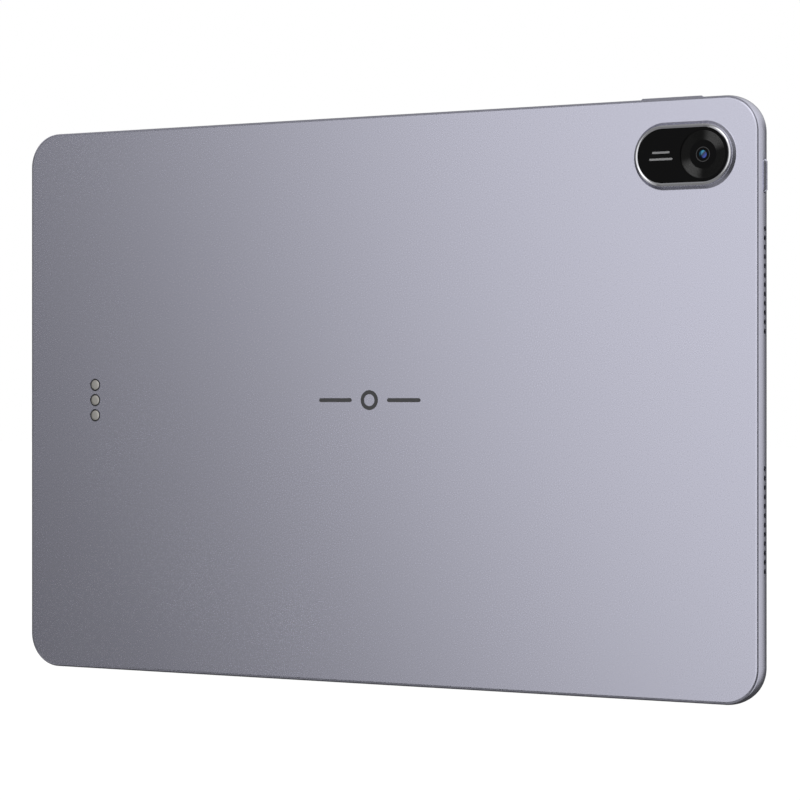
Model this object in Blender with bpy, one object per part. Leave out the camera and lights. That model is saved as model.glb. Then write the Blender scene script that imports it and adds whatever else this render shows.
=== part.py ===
"""Tablet computer with an 11.5-inch display, modelled as an assembly of separate parts.

Units are metres. X runs to the right as the back is seen, Y runs from the back towards
the display, and Z is up. The origin is the centre of the flat outer face of the back.
"""

import math

import bmesh
import bpy

MM = 0.001

# Body -----------------------------------------------------------------------------------
BODY_WIDTH = 261.1 * MM
BODY_HEIGHT = 177.0 * MM
BODY_DEPTH = 6.85 * MM
CORNER_RADIUS = 11.0 * MM
BACK_FILLET = 1.0 * MM
SIDE_BULGE = 0.22 * MM
BACK_WALL = 0.80 * MM
SIDE_WALL = 1.60 * MM
LIP_FILLET = 0.25 * MM
LIP_DROP = 0.55 * MM
LIP_WIDTH = 0.75 * MM

# Clearances -----------------------------------------------------------------------------
LAYER_GAP = 0.08 * MM
FIT_GAP = 0.12 * MM
KEY_GAP = 0.15 * MM
PART_GAP = 0.50 * MM

# Display --------------------------------------------------------------------------------
GLASS_THICKNESS = 0.70 * MM
GLASS_CHAMFER = 0.15 * MM
TRIM_WIDTH = 0.50 * MM
TRIM_DROP = 0.10 * MM
SHELF_REACH = 1.30 * MM
SHELF_THICKNESS = 0.40 * MM
BOND_THICKNESS = 0.10 * MM
BOND_MARGIN = 0.15 * MM
PANEL_BORDER = 7.0 * MM
PANEL_THICKNESS = 0.60 * MM
BACKLIGHT_THICKNESS = 0.55 * MM
PLATE_THICKNESS = 0.30 * MM
FLEX_THICKNESS = 0.12 * MM

# Rear camera ----------------------------------------------------------------------------
CAMERA_FROM_SIDE = 23.16 * MM
CAMERA_FROM_TOP = 17.25 * MM
CAMERA_LENGTH = 28.8 * MM
CAMERA_HEIGHT = 16.1 * MM
CAMERA_GLASS_THICKNESS = 0.55 * MM
CAMERA_BASE_FLARE = 1.1 * MM
CAMERA_BASE_RISE = 0.90 * MM
RING_WIDTH = 1.0 * MM
RING_RISE = 1.2 * MM
RING_ROUNDING = 0.25 * MM
RING_LEDGE = 0.70 * MM
RING_SLEEVE = 0.40 * MM
GLASS_RECESS = 0.12 * MM
LENS_BARREL_RADIUS = 3.9 * MM
LENS_TRIM_DEPTH = 0.45 * MM
MODULE_SIDE = 9.5 * MM
GASKET_WIDTH = 0.6 * MM
GASKET_THICKNESS = 0.15 * MM

# Keys -----------------------------------------------------------------------------------
KEY_FROM_FRONT = 2.75 * MM
KEY_WIDTH = 2.0 * MM
KEY_ROUNDING = 0.55 * MM
KEY_FLANGE_REACH = 0.9 * MM
KEY_FLANGE_THICKNESS = 0.60 * MM
KEY_NUB = 0.40 * MM
KEY_NUB_RADIUS = 0.8 * MM
POWER_KEY_FROM_TOP = 23.65 * MM
POWER_KEY_LENGTH = 9.8 * MM
POWER_KEY_PROUD = 0.70 * MM
POWER_KEY_TRAVEL = 0.30 * MM
VOLUME_KEY_FROM_SIDE = 29.15 * MM
VOLUME_KEY_LENGTH = 20.4 * MM
VOLUME_KEY_PROUD = 0.50 * MM
VOLUME_KEY_TILT = math.radians(1.5)
VOLUME_SWITCH_SPREAD = 6.0 * MM
SWITCH_LENGTH = 3.2 * MM
SWITCH_HEIGHT = 1.1 * MM

# Speakers and microphones ---------------------------------------------------------------
SOUND_HOLE_RADIUS = 0.78 * MM
SOUND_HOLE_PITCH = 2.70 * MM
SOUND_HOLE_COUNT = 12
SOUND_HOLE_FROM_FRONT = 2.60 * MM
SPEAKER_FROM_MIDDLE = 34.70 * MM
SPEAKER_WIDTH = 13.0 * MM
SPEAKER_MARGIN = 1.2 * MM
SPEAKER_MESH_THICKNESS = 0.30 * MM
MICROPHONE_FROM_SIDE = 60.0 * MM
MICROPHONE_HOLE_RADIUS = 0.45 * MM
MICROPHONE_LENGTH = 3.6 * MM
MICROPHONE_HEIGHT = 1.0 * MM

# Dock contacts --------------------------------------------------------------------------
DOCK_FROM_SIDE = 26.55 * MM
DOCK_PITCH = 5.0 * MM
DOCK_CONTACT_RADIUS = 1.60 * MM
DOCK_COLLAR_WALL = 0.30 * MM
DOCK_CARRIER_WIDTH = 7.0 * MM
DOCK_CARRIER_THICKNESS = 0.90 * MM
DOCK_FLANGE_RADIUS = 2.1 * MM
DOCK_FLANGE_THICKNESS = 0.35 * MM
DOCK_FLEX_WIDTH = 13.0 * MM
MAGNET_WIDTH = 7.0 * MM
MAGNET_LENGTH = 16.0 * MM
MAGNET_THICKNESS = 2.2 * MM

# Charging port --------------------------------------------------------------------------
PORT_LENGTH = 8.94 * MM
PORT_WIDTH = 3.16 * MM
PORT_WALL = 0.30 * MM
PORT_DEPTH = 6.0 * MM
PORT_FROM_FRONT = 3.35 * MM
PORT_RECESS = 0.25 * MM
PORT_TONGUE_LENGTH = 6.7 * MM
PORT_TONGUE_THICKNESS = 0.7 * MM
PORT_TONGUE_DEPTH = 4.4 * MM

# Boards and cells -----------------------------------------------------------------------
BOARD_THICKNESS = 0.80 * MM
BOARD_FRONT_SPACE = 1.00 * MM
BOARD_WIDTH = 68.0 * MM
BOARD_FROM_BOTTOM = 24.0 * MM
BOARD_CORNER = 1.5 * MM
SHIELD_MARGIN = 8.0 * MM
GRAPHITE_THICKNESS = 0.10 * MM
BOSS_RADIUS = 2.0 * MM
BOSS_FROM_EDGE = 3.2 * MM
SCREW_RADIUS = 0.60 * MM
SCREW_HEAD_RADIUS = 1.4 * MM
SCREW_HEAD_HEIGHT = 0.6 * MM
USB_BOARD_WIDTH = 15.0 * MM
USB_BOARD_HEIGHT = 22.0 * MM
CELL_FROM_TOP = 22.0 * MM
CELL_FROM_BOTTOM = 14.0 * MM
CELL_SPACE = 2.0 * MM
CELL_CORNER = 2.0 * MM
CELL_CHAMFER = 0.4 * MM
CELL_PAD_MARGIN = 12.0 * MM
CELL_PAD_THICKNESS = 0.10 * MM
CELL_BOARD_WIDTH = 46.0 * MM
CELL_BOARD_HEIGHT = 5.0 * MM
CELL_BOARD_THICKNESS = 1.2 * MM
MAIN_FLEX_WIDTH = 14.0 * MM
DISPLAY_FLEX_WIDTH = 24.0 * MM
ANTENNA_FROM_MIDDLE = 15.0 * MM
ANTENNA_LENGTH = 30.0 * MM
ANTENNA_HEIGHT = 4.0 * MM

# Front sensors --------------------------------------------------------------------------
LIGHT_SENSOR_FROM_MIDDLE = 10.0 * MM
LIGHT_SENSOR_LENGTH = 2.4 * MM
LIGHT_SENSOR_HEIGHT = 1.6 * MM
LIGHT_SENSOR_THICKNESS = 0.9 * MM

# Facets ---------------------------------------------------------------------------------
BODY_CORNER_STEPS = 8
PILL_STEPS = 8
SMALL_STEPS = 2
KEY_STEPS = 4
FILLET_STEPS = 4
SIDE_STEPS = 4
ROUND_SIDES = 20
SOUND_HOLE_SIDES = 10
CORNER_DIRECTIONS = ((1, 1), (-1, 1), (-1, -1), (1, -1))
WELD = 1e-7

# Levels through the depth, from the glass back to the cells ------------------------------
HALF_WIDTH = BODY_WIDTH / 2
HALF_HEIGHT = BODY_HEIGHT / 2
INNER_X = HALF_WIDTH - SIDE_WALL
INNER_Z = HALF_HEIGHT - SIDE_WALL
GLASS_BACK = BODY_DEPTH - GLASS_THICKNESS
PANEL_FRONT = GLASS_BACK - LAYER_GAP
PANEL_BACK = PANEL_FRONT - PANEL_THICKNESS
BACKLIGHT_FRONT = PANEL_BACK - LAYER_GAP
BACKLIGHT_BACK = BACKLIGHT_FRONT - BACKLIGHT_THICKNESS
PLATE_FRONT = BACKLIGHT_BACK - LAYER_GAP
PLATE_BACK = PLATE_FRONT - PLATE_THICKNESS
FLEX_FRONT = PLATE_BACK - LAYER_GAP
FLEX_BACK = FLEX_FRONT - FLEX_THICKNESS
CELL_FRONT = FLEX_BACK - LAYER_GAP
SHELF_FRONT = GLASS_BACK - 2 * LAYER_GAP - BOND_THICKNESS
SHELF_BACK = SHELF_FRONT - SHELF_THICKNESS
LEDGE = SHELF_BACK - LAYER_GAP
LIP = BODY_DEPTH - LIP_DROP
FLOOR = BACK_WALL
FIRST_LAYER = FLOOR + LAYER_GAP
CELL_BACK = FIRST_LAYER + CELL_PAD_THICKNESS + LAYER_GAP
BOARD_FRONT = CELL_FRONT - BOARD_FRONT_SPACE
BOARD_BACK = BOARD_FRONT - BOARD_THICKNESS
BOSS_HEIGHT = BOARD_BACK - LAYER_GAP - FLOOR
KEY_Y = BODY_DEPTH - KEY_FROM_FRONT
SOUND_HOLE_Y = BODY_DEPTH - SOUND_HOLE_FROM_FRONT
PORT_Y = BODY_DEPTH - PORT_FROM_FRONT

# Places in the plane of the back ----------------------------------------------------------
TRIM_INSET = LIP_WIDTH + FIT_GAP
GLASS_INSET = TRIM_INSET + TRIM_WIDTH + FIT_GAP
SHELF_INSET = TRIM_INSET + TRIM_WIDTH + SHELF_REACH
CAMERA_X = HALF_WIDTH - CAMERA_FROM_SIDE
CAMERA_Z = HALF_HEIGHT - CAMERA_FROM_TOP
LENS_X = CAMERA_X + (CAMERA_LENGTH - CAMERA_HEIGHT) / 2
LENS_TRIM_RADIUS = CAMERA_HEIGHT / 2 - RING_LEDGE - 2 * FIT_GAP
DOCK_X = DOCK_FROM_SIDE - HALF_WIDTH
DOCK_COLLAR_RADIUS = DOCK_CONTACT_RADIUS + DOCK_COLLAR_WALL
POWER_KEY_Z = HALF_HEIGHT - POWER_KEY_FROM_TOP
VOLUME_KEY_X = HALF_WIDTH - VOLUME_KEY_FROM_SIDE
SOUND_ROW = (SOUND_HOLE_COUNT - 1) * SOUND_HOLE_PITCH
SPEAKER_LENGTH = SOUND_ROW + 2 * (SOUND_HOLE_RADIUS + SPEAKER_MARGIN)
SPEAKER_OUTER_X = INNER_X - 2 * FIT_GAP - SPEAKER_MESH_THICKNESS
SPEAKER_INNER_X = SPEAKER_OUTER_X - SPEAKER_WIDTH
BOARD_RIGHT = SPEAKER_INNER_X - PART_GAP
BOARD_LEFT = BOARD_RIGHT - BOARD_WIDTH
BOARD_TOP = CAMERA_Z - MODULE_SIDE / 2 - PART_GAP
BOARD_BOTTOM = BOARD_FROM_BOTTOM - INNER_Z
CELLS_LEFT = DOCK_X + DOCK_CARRIER_WIDTH / 2 + 2 * PART_GAP
CELLS_RIGHT = BOARD_LEFT - 2 * PART_GAP
CELLS_TOP = INNER_Z - CELL_FROM_TOP
CELLS_BOTTOM = CELL_FROM_BOTTOM - INNER_Z
CELL_WIDTH = (CELLS_RIGHT - CELLS_LEFT - CELL_SPACE) / 2
USB_BOARD_LEFT = PART_GAP - INNER_X
USB_BOARD_RIGHT = USB_BOARD_LEFT + USB_BOARD_WIDTH
USB_BOARD_FRONT = PORT_Y - PORT_WIDTH / 2 - FIT_GAP
USB_BOARD_BACK = USB_BOARD_FRONT - BOARD_THICKNESS

FINISHES = {
    "anodised_aluminium": ((0.47, 0.47, 0.52), 0.38, 1.0),
    "polished_steel": ((0.82, 0.82, 0.84), 0.12, 1.0),
    "black_glass": ((0.01, 0.01, 0.012), 0.05, 0.0),
    "black_plastic": ((0.03, 0.03, 0.032), 0.5, 0.0),
    "lens_black": ((0.04, 0.04, 0.042), 0.3, 0.6),
    "display_glass": ((0.015, 0.015, 0.02), 0.2, 0.0),
    "light_guide": ((0.85, 0.86, 0.88), 0.4, 0.0),
    "plated_steel": ((0.62, 0.62, 0.63), 0.3, 1.0),
    "cell_foil": ((0.12, 0.12, 0.13), 0.35, 0.0),
    "tape": ((0.75, 0.75, 0.72), 0.6, 0.0),
    "circuit_board": ((0.02, 0.10, 0.07), 0.45, 0.0),
    "flex_film": ((0.35, 0.18, 0.05), 0.4, 0.0),
    "graphite": ((0.08, 0.08, 0.085), 0.45, 0.3),
    "nickel_mesh": ((0.10, 0.10, 0.11), 0.5, 1.0),
    "contact_metal": ((0.72, 0.69, 0.64), 0.25, 1.0),
    "magnet_plate": ((0.55, 0.55, 0.56), 0.3, 1.0),
    "foam": ((0.05, 0.05, 0.05), 0.9, 0.0),
}


def clear_scene():
    """Removes every object that the file holds."""
    for obj in list(bpy.data.objects):
        bpy.data.objects.remove(obj)


def finish_material(name):
    """A Principled material from the table of finishes, made once."""
    if name in bpy.data.materials:
        return bpy.data.materials[name]
    colour, roughness, metallic = FINISHES[name]
    material = bpy.data.materials.new(name)
    material.use_nodes = True
    shader = material.node_tree.nodes["Principled BSDF"]
    shader.inputs["Base Color"].default_value = (*colour, 1.0)
    shader.inputs["Roughness"].default_value = roughness
    shader.inputs["Metallic"].default_value = metallic
    return material


def outline(half_a, half_b, radius, steps):
    """Points of a rounded rectangle about the origin, in its own two directions."""
    if radius <= 0:
        return [(half_a * side_a, half_b * side_b) for side_a, side_b in CORNER_DIRECTIONS]
    radius = min(radius, half_a, half_b)
    points = []
    for quarter, (side_a, side_b) in enumerate(CORNER_DIRECTIONS):
        for step in range(steps + 1):
            angle = math.pi / 2 * (quarter + step / steps)
            a = side_a * (half_a - radius) + radius * math.cos(angle)
            b = side_b * (half_b - radius) + radius * math.sin(angle)
            points.append((a, b))
    return points


def across(axis, a, b, depth):
    """The point at (a, b) across an axis and at a depth along it."""
    return {"X": (depth, a, b), "Y": (a, depth, b), "Z": (a, b, depth)}[axis]


def solid(name, rings, looped, finish, centre):
    """One closed body through rings of points, capped at its ends or joined into a loop."""
    bm = bmesh.new()
    loops = [[bm.verts.new(point) for point in ring] for ring in rings]
    pairs = list(zip(loops, loops[1:]))
    if looped:
        pairs.append((loops[-1], loops[0]))
    else:
        bm.faces.new(loops[0])
        bm.faces.new(loops[-1])
    for first, second in pairs:
        for index, start in enumerate(first):
            after = (index + 1) % len(first)
            bm.faces.new((start, first[after], second[after], second[index]))
    bmesh.ops.remove_doubles(bm, verts=bm.verts, dist=WELD)
    bmesh.ops.recalc_face_normals(bm, faces=bm.faces)
    mesh = bpy.data.meshes.new(name)
    bm.to_mesh(mesh)
    bm.free()
    mesh.shade_smooth()
    mesh.set_sharp_from_angle(angle=math.radians(30))
    mesh.materials.append(finish_material(finish))
    obj = bpy.data.objects.new(name, mesh)
    obj.location = centre
    bpy.context.collection.objects.link(obj)
    return obj


def loft(name, finish, axis, sections, steps, centre=(0, 0, 0), looped=False):
    """A body through rounded rectangles, each (half_a, half_b, radius, depth)."""
    rings = []
    for half_a, half_b, radius, depth in sections:
        points = outline(half_a, half_b, radius, steps)
        rings.append([across(axis, a, b, depth) for a, b in points])
    return solid(name, rings, looped, finish, centre)


def plate(name, finish, x_span, y_span, z_span, radius=0, steps=SMALL_STEPS):
    """A flat piece between two values on each axis, with its origin at its centre."""
    centre = [(low + high) / 2 for low, high in (x_span, y_span, z_span)]
    half_x, half_y, half_z = [(high - low) / 2 for low, high in (x_span, y_span, z_span)]
    sections = [(half_x, half_z, radius, -half_y), (half_x, half_z, radius, half_y)]
    return loft(name, finish, "Y", sections, steps, centre)


def turned(name, finish, sections, centre, axis="Y", sides=ROUND_SIDES, looped=False):
    """A turned body through circles, each (radius, depth)."""
    rings = []
    for radius, depth in sections:
        ring = []
        for index in range(sides):
            angle = 2 * math.pi * index / sides
            ring.append(across(axis, radius * math.cos(angle), radius * math.sin(angle), depth))
        rings.append(ring)
    return solid(name, rings, looped, finish, centre)


def ribbon(name, finish, axis, path, width, middle):
    """A flexible circuit: a strip of even thickness that follows a path, turned on edge."""
    edge_front = []
    edge_back = []
    for index, (along, depth) in enumerate(path):
        before = path[max(index - 1, 0)]
        after = path[min(index + 1, len(path) - 1)]
        run, rise = after[0] - before[0], after[1] - before[1]
        scale = FLEX_THICKNESS / 2 / math.hypot(run, rise)
        edge_front.append((along - rise * scale, depth + run * scale))
        edge_back.append((along + rise * scale, depth - run * scale))
    section = edge_front + edge_back[::-1]
    rings = []
    for side in (middle - width / 2, middle + width / 2):
        if axis == "Z":
            rings.append([(along, depth, side) for along, depth in section])
        else:
            rings.append([(side, depth, along) for along, depth in section])
    return solid(name, rings, False, finish, (0, 0, 0))


def boolean(target, tool, operation):
    """Joins a tool to the target or cuts it out, and hides the tool."""
    tool.hide_render = True
    tool.display_type = "WIRE"
    modifier = target.modifiers.new(tool.name, "BOOLEAN")
    modifier.operation = operation
    modifier.solver = "EXACT"
    modifier.object = tool


def body_sections(profile):
    """Rounded rectangles of the body's outline at each (inset, depth) of a profile."""
    return [
        (HALF_WIDTH - inset, HALF_HEIGHT - inset, CORNER_RADIUS - inset, depth)
        for inset, depth in profile
    ]


def shell_profile():
    """The housing's section: back edge, bulging side, front lip, ledge and pocket."""
    profile = []
    for step in range(FILLET_STEPS + 1):
        angle = math.pi / 2 * step / FILLET_STEPS
        inset = SIDE_BULGE + BACK_FILLET * (1 - math.sin(angle))
        profile.append((inset, BACK_FILLET * (1 - math.cos(angle))))
    side_end = LIP - LIP_FILLET
    for step in range(1, SIDE_STEPS + 1):
        share = step / SIDE_STEPS
        depth = BACK_FILLET + (side_end - BACK_FILLET) * share
        profile.append((SIDE_BULGE * (2 * share - 1) ** 2, depth))
    profile.append((SIDE_BULGE + LIP_FILLET * 0.3, LIP - LIP_FILLET * 0.3))
    profile.append((SIDE_BULGE + LIP_FILLET, LIP))
    profile.append((LIP_WIDTH, LIP))
    profile.append((LIP_WIDTH, LEDGE))
    profile.append((SIDE_WALL, LEDGE))
    profile.append((SIDE_WALL, FLOOR))
    return profile


def pill_sections(profile):
    """Outlines of the camera window, grown by an offset, at each (offset, depth)."""
    return [
        (CAMERA_LENGTH / 2 + grow, CAMERA_HEIGHT / 2 + grow, CAMERA_HEIGHT / 2 + grow, depth)
        for grow, depth in profile
    ]


def key_slot(name, axis, length, centre):
    """A cutter for a key's slot through the side wall."""
    half_a, half_b = KEY_WIDTH / 2 + KEY_GAP, length / 2 + KEY_GAP
    if axis == "Z":
        half_a, half_b = half_b, half_a
    radius = KEY_WIDTH / 2 + KEY_GAP
    sections = [(half_a, half_b, radius, side * SIDE_WALL * 1.5) for side in (-1, 1)]
    return loft(name, "anodised_aluminium", axis, sections, KEY_STEPS, centre)


def board_screw_places():
    """The centres of the main board's four screws, in X and Z."""
    return [
        (x, z)
        for x in (BOARD_LEFT + BOSS_FROM_EDGE, BOARD_RIGHT - BOSS_FROM_EDGE)
        for z in (BOARD_BOTTOM + BOSS_FROM_EDGE, BOARD_TOP - BOSS_FROM_EDGE)
    ]


def cut_sound_holes(housing):
    """Four rows of sound holes, two through each short side."""
    for side in (-1, 1):
        for level in (-1, 1):
            first = level * SPEAKER_FROM_MIDDLE - SOUND_ROW / 2
            centre = (side * (HALF_WIDTH - SIDE_WALL / 2), SOUND_HOLE_Y, first)
            sections = [(SOUND_HOLE_RADIUS, end * SIDE_WALL) for end in (-1, 1)]
            tool = turned(
                f"sound_holes_{side}_{level}", "nickel_mesh", sections, centre, "X",
                SOUND_HOLE_SIDES,
            )
            row = tool.modifiers.new("row", "ARRAY")
            row.use_relative_offset = False
            row.use_constant_offset = True
            row.constant_offset_displace = (0, 0, SOUND_HOLE_PITCH)
            row.count = SOUND_HOLE_COUNT
            boolean(housing, tool, "DIFFERENCE")


def cut_port_and_small_holes(housing):
    """The charging port's mouth, the dock contacts' holes and the microphone holes."""
    half_width = PORT_WIDTH / 2 + FIT_GAP
    half_length = PORT_LENGTH / 2 + FIT_GAP
    sections = [(half_width, half_length, half_width, end * SIDE_WALL) for end in (-1, 1)]
    centre = (SIDE_WALL / 2 - HALF_WIDTH, PORT_Y, 0)
    mouth = loft("port_mouth", "anodised_aluminium", "X", sections, KEY_STEPS, centre)
    boolean(housing, mouth, "DIFFERENCE")
    for step in (-1, 0, 1):
        sections = [(DOCK_COLLAR_RADIUS + FIT_GAP, end * BACK_WALL) for end in (-1, 1)]
        centre = (DOCK_X, BACK_WALL / 2, step * DOCK_PITCH)
        hole = turned(f"dock_hole_{step}", "anodised_aluminium", sections, centre)
        boolean(housing, hole, "DIFFERENCE")
    for side in (-1, 1):
        sections = [(MICROPHONE_HOLE_RADIUS, end * SIDE_WALL) for end in (-1, 1)]
        x = side * (HALF_WIDTH - MICROPHONE_FROM_SIDE)
        centre = (x, KEY_Y, HALF_HEIGHT - SIDE_WALL / 2)
        hole = turned(
            f"microphone_hole_{side}", "anodised_aluminium", sections, centre, "Z",
            SOUND_HOLE_SIDES,
        )
        boolean(housing, hole, "DIFFERENCE")


def make_housing():
    """The one-piece aluminium back and sides, with its camera base, bosses and holes."""
    housing = loft(
        "rear_housing", "anodised_aluminium", "Y", body_sections(shell_profile()),
        BODY_CORNER_STEPS,
    )
    camera = (CAMERA_X, 0, CAMERA_Z)
    foot = RING_WIDTH + CAMERA_BASE_FLARE
    base_profile = (
        (foot, BACK_WALL / 2),
        (foot, 0),
        (foot - CAMERA_BASE_FLARE * 0.55, -CAMERA_BASE_RISE * 0.2),
        (foot - CAMERA_BASE_FLARE * 0.85, -CAMERA_BASE_RISE * 0.55),
        (RING_WIDTH, -CAMERA_BASE_RISE),
    )
    base = loft(
        "camera_base", "anodised_aluminium", "Y", pill_sections(base_profile), PILL_STEPS, camera,
    )
    boolean(housing, base, "UNION")
    opening_profile = [(FIT_GAP - RING_LEDGE + RING_SLEEVE, depth) for depth in (-foot, foot)]
    opening = loft(
        "camera_opening", "anodised_aluminium", "Y", pill_sections(opening_profile), PILL_STEPS,
        camera,
    )
    boolean(housing, opening, "DIFFERENCE")
    for number, (x, z) in enumerate(board_screw_places()):
        sections = [(BOSS_RADIUS, -BACK_WALL / 2), (BOSS_RADIUS, BOSS_HEIGHT)]
        boss = turned(f"boss_{number}", "anodised_aluminium", sections, (x, FLOOR, z))
        boolean(housing, boss, "UNION")
        pilot = SCREW_RADIUS + FIT_GAP
        sections = [(pilot, 0), (pilot, 2 * BOSS_HEIGHT)]
        hole = turned(f"pilot_{number}", "anodised_aluminium", sections, (x, FLOOR, z))
        boolean(housing, hole, "DIFFERENCE")
    power = (HALF_WIDTH, KEY_Y, POWER_KEY_Z)
    boolean(housing, key_slot("power_slot", "X", POWER_KEY_LENGTH, power), "DIFFERENCE")
    volume = (VOLUME_KEY_X, KEY_Y, HALF_HEIGHT)
    boolean(housing, key_slot("volume_slot", "Z", VOLUME_KEY_LENGTH, volume), "DIFFERENCE")
    cut_sound_holes(housing)
    cut_port_and_small_holes(housing)


def make_display():
    """The trim frame, the cover glass, its bond, the panel, the backlight and the plate."""
    trim_front = BODY_DEPTH - TRIM_DROP
    inner = TRIM_INSET + TRIM_WIDTH
    trim_profile = (
        (TRIM_INSET, SHELF_BACK),
        (TRIM_INSET, trim_front),
        (inner, trim_front),
        (inner, SHELF_FRONT),
        (SHELF_INSET, SHELF_FRONT),
        (SHELF_INSET, SHELF_BACK),
    )
    loft(
        "display_trim", "black_plastic", "Y", body_sections(trim_profile), BODY_CORNER_STEPS,
        looped=True,
    )
    glass_profile = (
        (GLASS_INSET, GLASS_BACK),
        (GLASS_INSET, BODY_DEPTH - GLASS_CHAMFER),
        (GLASS_INSET + GLASS_CHAMFER, BODY_DEPTH),
    )
    loft("cover_glass", "black_glass", "Y", body_sections(glass_profile), BODY_CORNER_STEPS)
    bond_outer, bond_inner = GLASS_INSET + BOND_MARGIN, SHELF_INSET - BOND_MARGIN
    bond_back = SHELF_FRONT + LAYER_GAP
    bond_front = GLASS_BACK - LAYER_GAP
    bond_profile = (
        (bond_outer, bond_back),
        (bond_outer, bond_front),
        (bond_inner, bond_front),
        (bond_inner, bond_back),
    )
    loft(
        "display_adhesive", "foam", "Y", body_sections(bond_profile), BODY_CORNER_STEPS,
        looped=True,
    )
    half_x, half_z = HALF_WIDTH - PANEL_BORDER, HALF_HEIGHT - PANEL_BORDER
    corner = max(CORNER_RADIUS - PANEL_BORDER, 0)
    layers = (
        ("lcd_panel", "display_glass", PANEL_BACK, PANEL_FRONT),
        ("backlight_unit", "light_guide", BACKLIGHT_BACK, BACKLIGHT_FRONT),
        ("support_plate", "plated_steel", PLATE_BACK, PLATE_FRONT),
    )
    for name, finish, back, front in layers:
        plate(name, finish, (-half_x, half_x), (back, front), (-half_z, half_z), corner)


def make_rear_camera():
    """The polished ring, the window, the lens trim, the gasket and the camera module."""
    camera = (CAMERA_X, 0, CAMERA_Z)
    lens = (LENS_X, 0, CAMERA_Z)
    seat = -CAMERA_BASE_RISE - FIT_GAP
    top = -CAMERA_BASE_RISE - RING_RISE
    glass_front = top + GLASS_RECESS
    glass_back = glass_front + CAMERA_GLASS_THICKNESS
    ledge = glass_back + LAYER_GAP
    sleeve_inner, sleeve_outer = -RING_LEDGE, RING_SLEEVE - RING_LEDGE
    ring_profile = (
        (RING_WIDTH, seat),
        (RING_WIDTH, top + RING_ROUNDING),
        (RING_WIDTH - RING_ROUNDING, top),
        (FIT_GAP + RING_ROUNDING / 2, top),
        (FIT_GAP, top + RING_ROUNDING / 2),
        (FIT_GAP, ledge),
        (sleeve_inner, ledge),
        (sleeve_inner, BACK_WALL / 2),
        (sleeve_outer, BACK_WALL / 2),
        (sleeve_outer, seat),
    )
    loft(
        "camera_ring", "polished_steel", "Y", pill_sections(ring_profile), PILL_STEPS, camera,
        looped=True,
    )
    window_profile = (
        (0, glass_back),
        (0, glass_front + GLASS_CHAMFER / 2),
        (-GLASS_CHAMFER / 2, glass_front),
    )
    loft(
        "camera_glass", "black_glass", "Y", pill_sections(window_profile), PILL_STEPS, camera,
    )
    trim_front = glass_back + LAYER_GAP
    trim_hole = LENS_BARREL_RADIUS + FIT_GAP
    trim_sections = (
        (LENS_TRIM_RADIUS, trim_front),
        (trim_hole, trim_front + LENS_TRIM_DEPTH * 0.6),
        (trim_hole, trim_front + LENS_TRIM_DEPTH),
        (LENS_TRIM_RADIUS, trim_front + LENS_TRIM_DEPTH),
    )
    turned("lens_trim", "lens_black", trim_sections, lens, sides=32, looped=True)
    gasket_front = trim_front + LENS_TRIM_DEPTH + LAYER_GAP
    gasket_back = gasket_front + GASKET_THICKNESS
    gasket_sections = (
        (trim_hole + GASKET_WIDTH, gasket_front),
        (trim_hole, gasket_front),
        (trim_hole, gasket_back),
        (trim_hole + GASKET_WIDTH, gasket_back),
    )
    turned("camera_gasket", "foam", gasket_sections, lens, looped=True)
    module_front = FLOOR + LAYER_GAP
    half = MODULE_SIDE / 2
    barrel = LENS_BARREL_RADIUS
    module_sections = (
        (half, half, SCREW_RADIUS, CELL_FRONT),
        (half, half, SCREW_RADIUS, module_front),
        (barrel, barrel, barrel, module_front),
        (barrel, barrel, barrel, trim_front + LENS_TRIM_DEPTH * 0.6),
    )
    loft("rear_camera_module", "lens_black", "Y", module_sections, 5, lens)


def key_sections(length, proud, wall_gap):
    """A key's nub, flange and cap from inside out, as (half_length, half_width, depth).

    Depths are measured from the body's outer face, inwards negative.
    """
    half_length, half_width = length / 2, KEY_WIDTH / 2
    flange_top = -SIDE_WALL - wall_gap
    flange_bottom = flange_top - KEY_FLANGE_THICKNESS
    reach = half_length + KEY_FLANGE_REACH
    return (
        (KEY_NUB_RADIUS, KEY_NUB_RADIUS, flange_bottom - KEY_NUB),
        (KEY_NUB_RADIUS, KEY_NUB_RADIUS, flange_bottom),
        (reach, half_width, flange_bottom),
        (reach, half_width, flange_top),
        (half_length, half_width, flange_top),
        (half_length, half_width, proud - KEY_ROUNDING),
        (half_length - KEY_ROUNDING * 0.3, half_width - KEY_ROUNDING * 0.3, proud - KEY_ROUNDING * 0.3),
        (half_length - KEY_ROUNDING, half_width - KEY_ROUNDING, proud),
    )


def make_power_key():
    """The power key, which slides in its slot, and the switch and circuit behind it."""
    sections = key_sections(POWER_KEY_LENGTH, POWER_KEY_PROUD, KEY_GAP)
    rings = [(width, length, width, depth) for length, width, depth in sections]
    place = (HALF_WIDTH, KEY_Y, POWER_KEY_Z)
    loft("power_key", "anodised_aluminium", "X", rings, KEY_STEPS, place)
    nub_end = HALF_WIDTH + sections[0][2]
    switch_top = nub_end - POWER_KEY_TRAVEL - KEY_GAP
    switch_bottom = switch_top - SWITCH_HEIGHT
    half_width = KEY_WIDTH / 2
    y_span = (KEY_Y - half_width, KEY_Y + half_width)
    z_span = (POWER_KEY_Z - SWITCH_LENGTH / 2, POWER_KEY_Z + SWITCH_LENGTH / 2)
    plate("power_switch", "plated_steel", (switch_bottom, switch_top), y_span, z_span)
    flex_front = switch_bottom - LAYER_GAP
    half = POWER_KEY_LENGTH / 2
    plate(
        "power_key_flex", "flex_film", (flex_front - FLEX_THICKNESS, flex_front), y_span,
        (POWER_KEY_Z - half, POWER_KEY_Z + half),
    )


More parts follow.
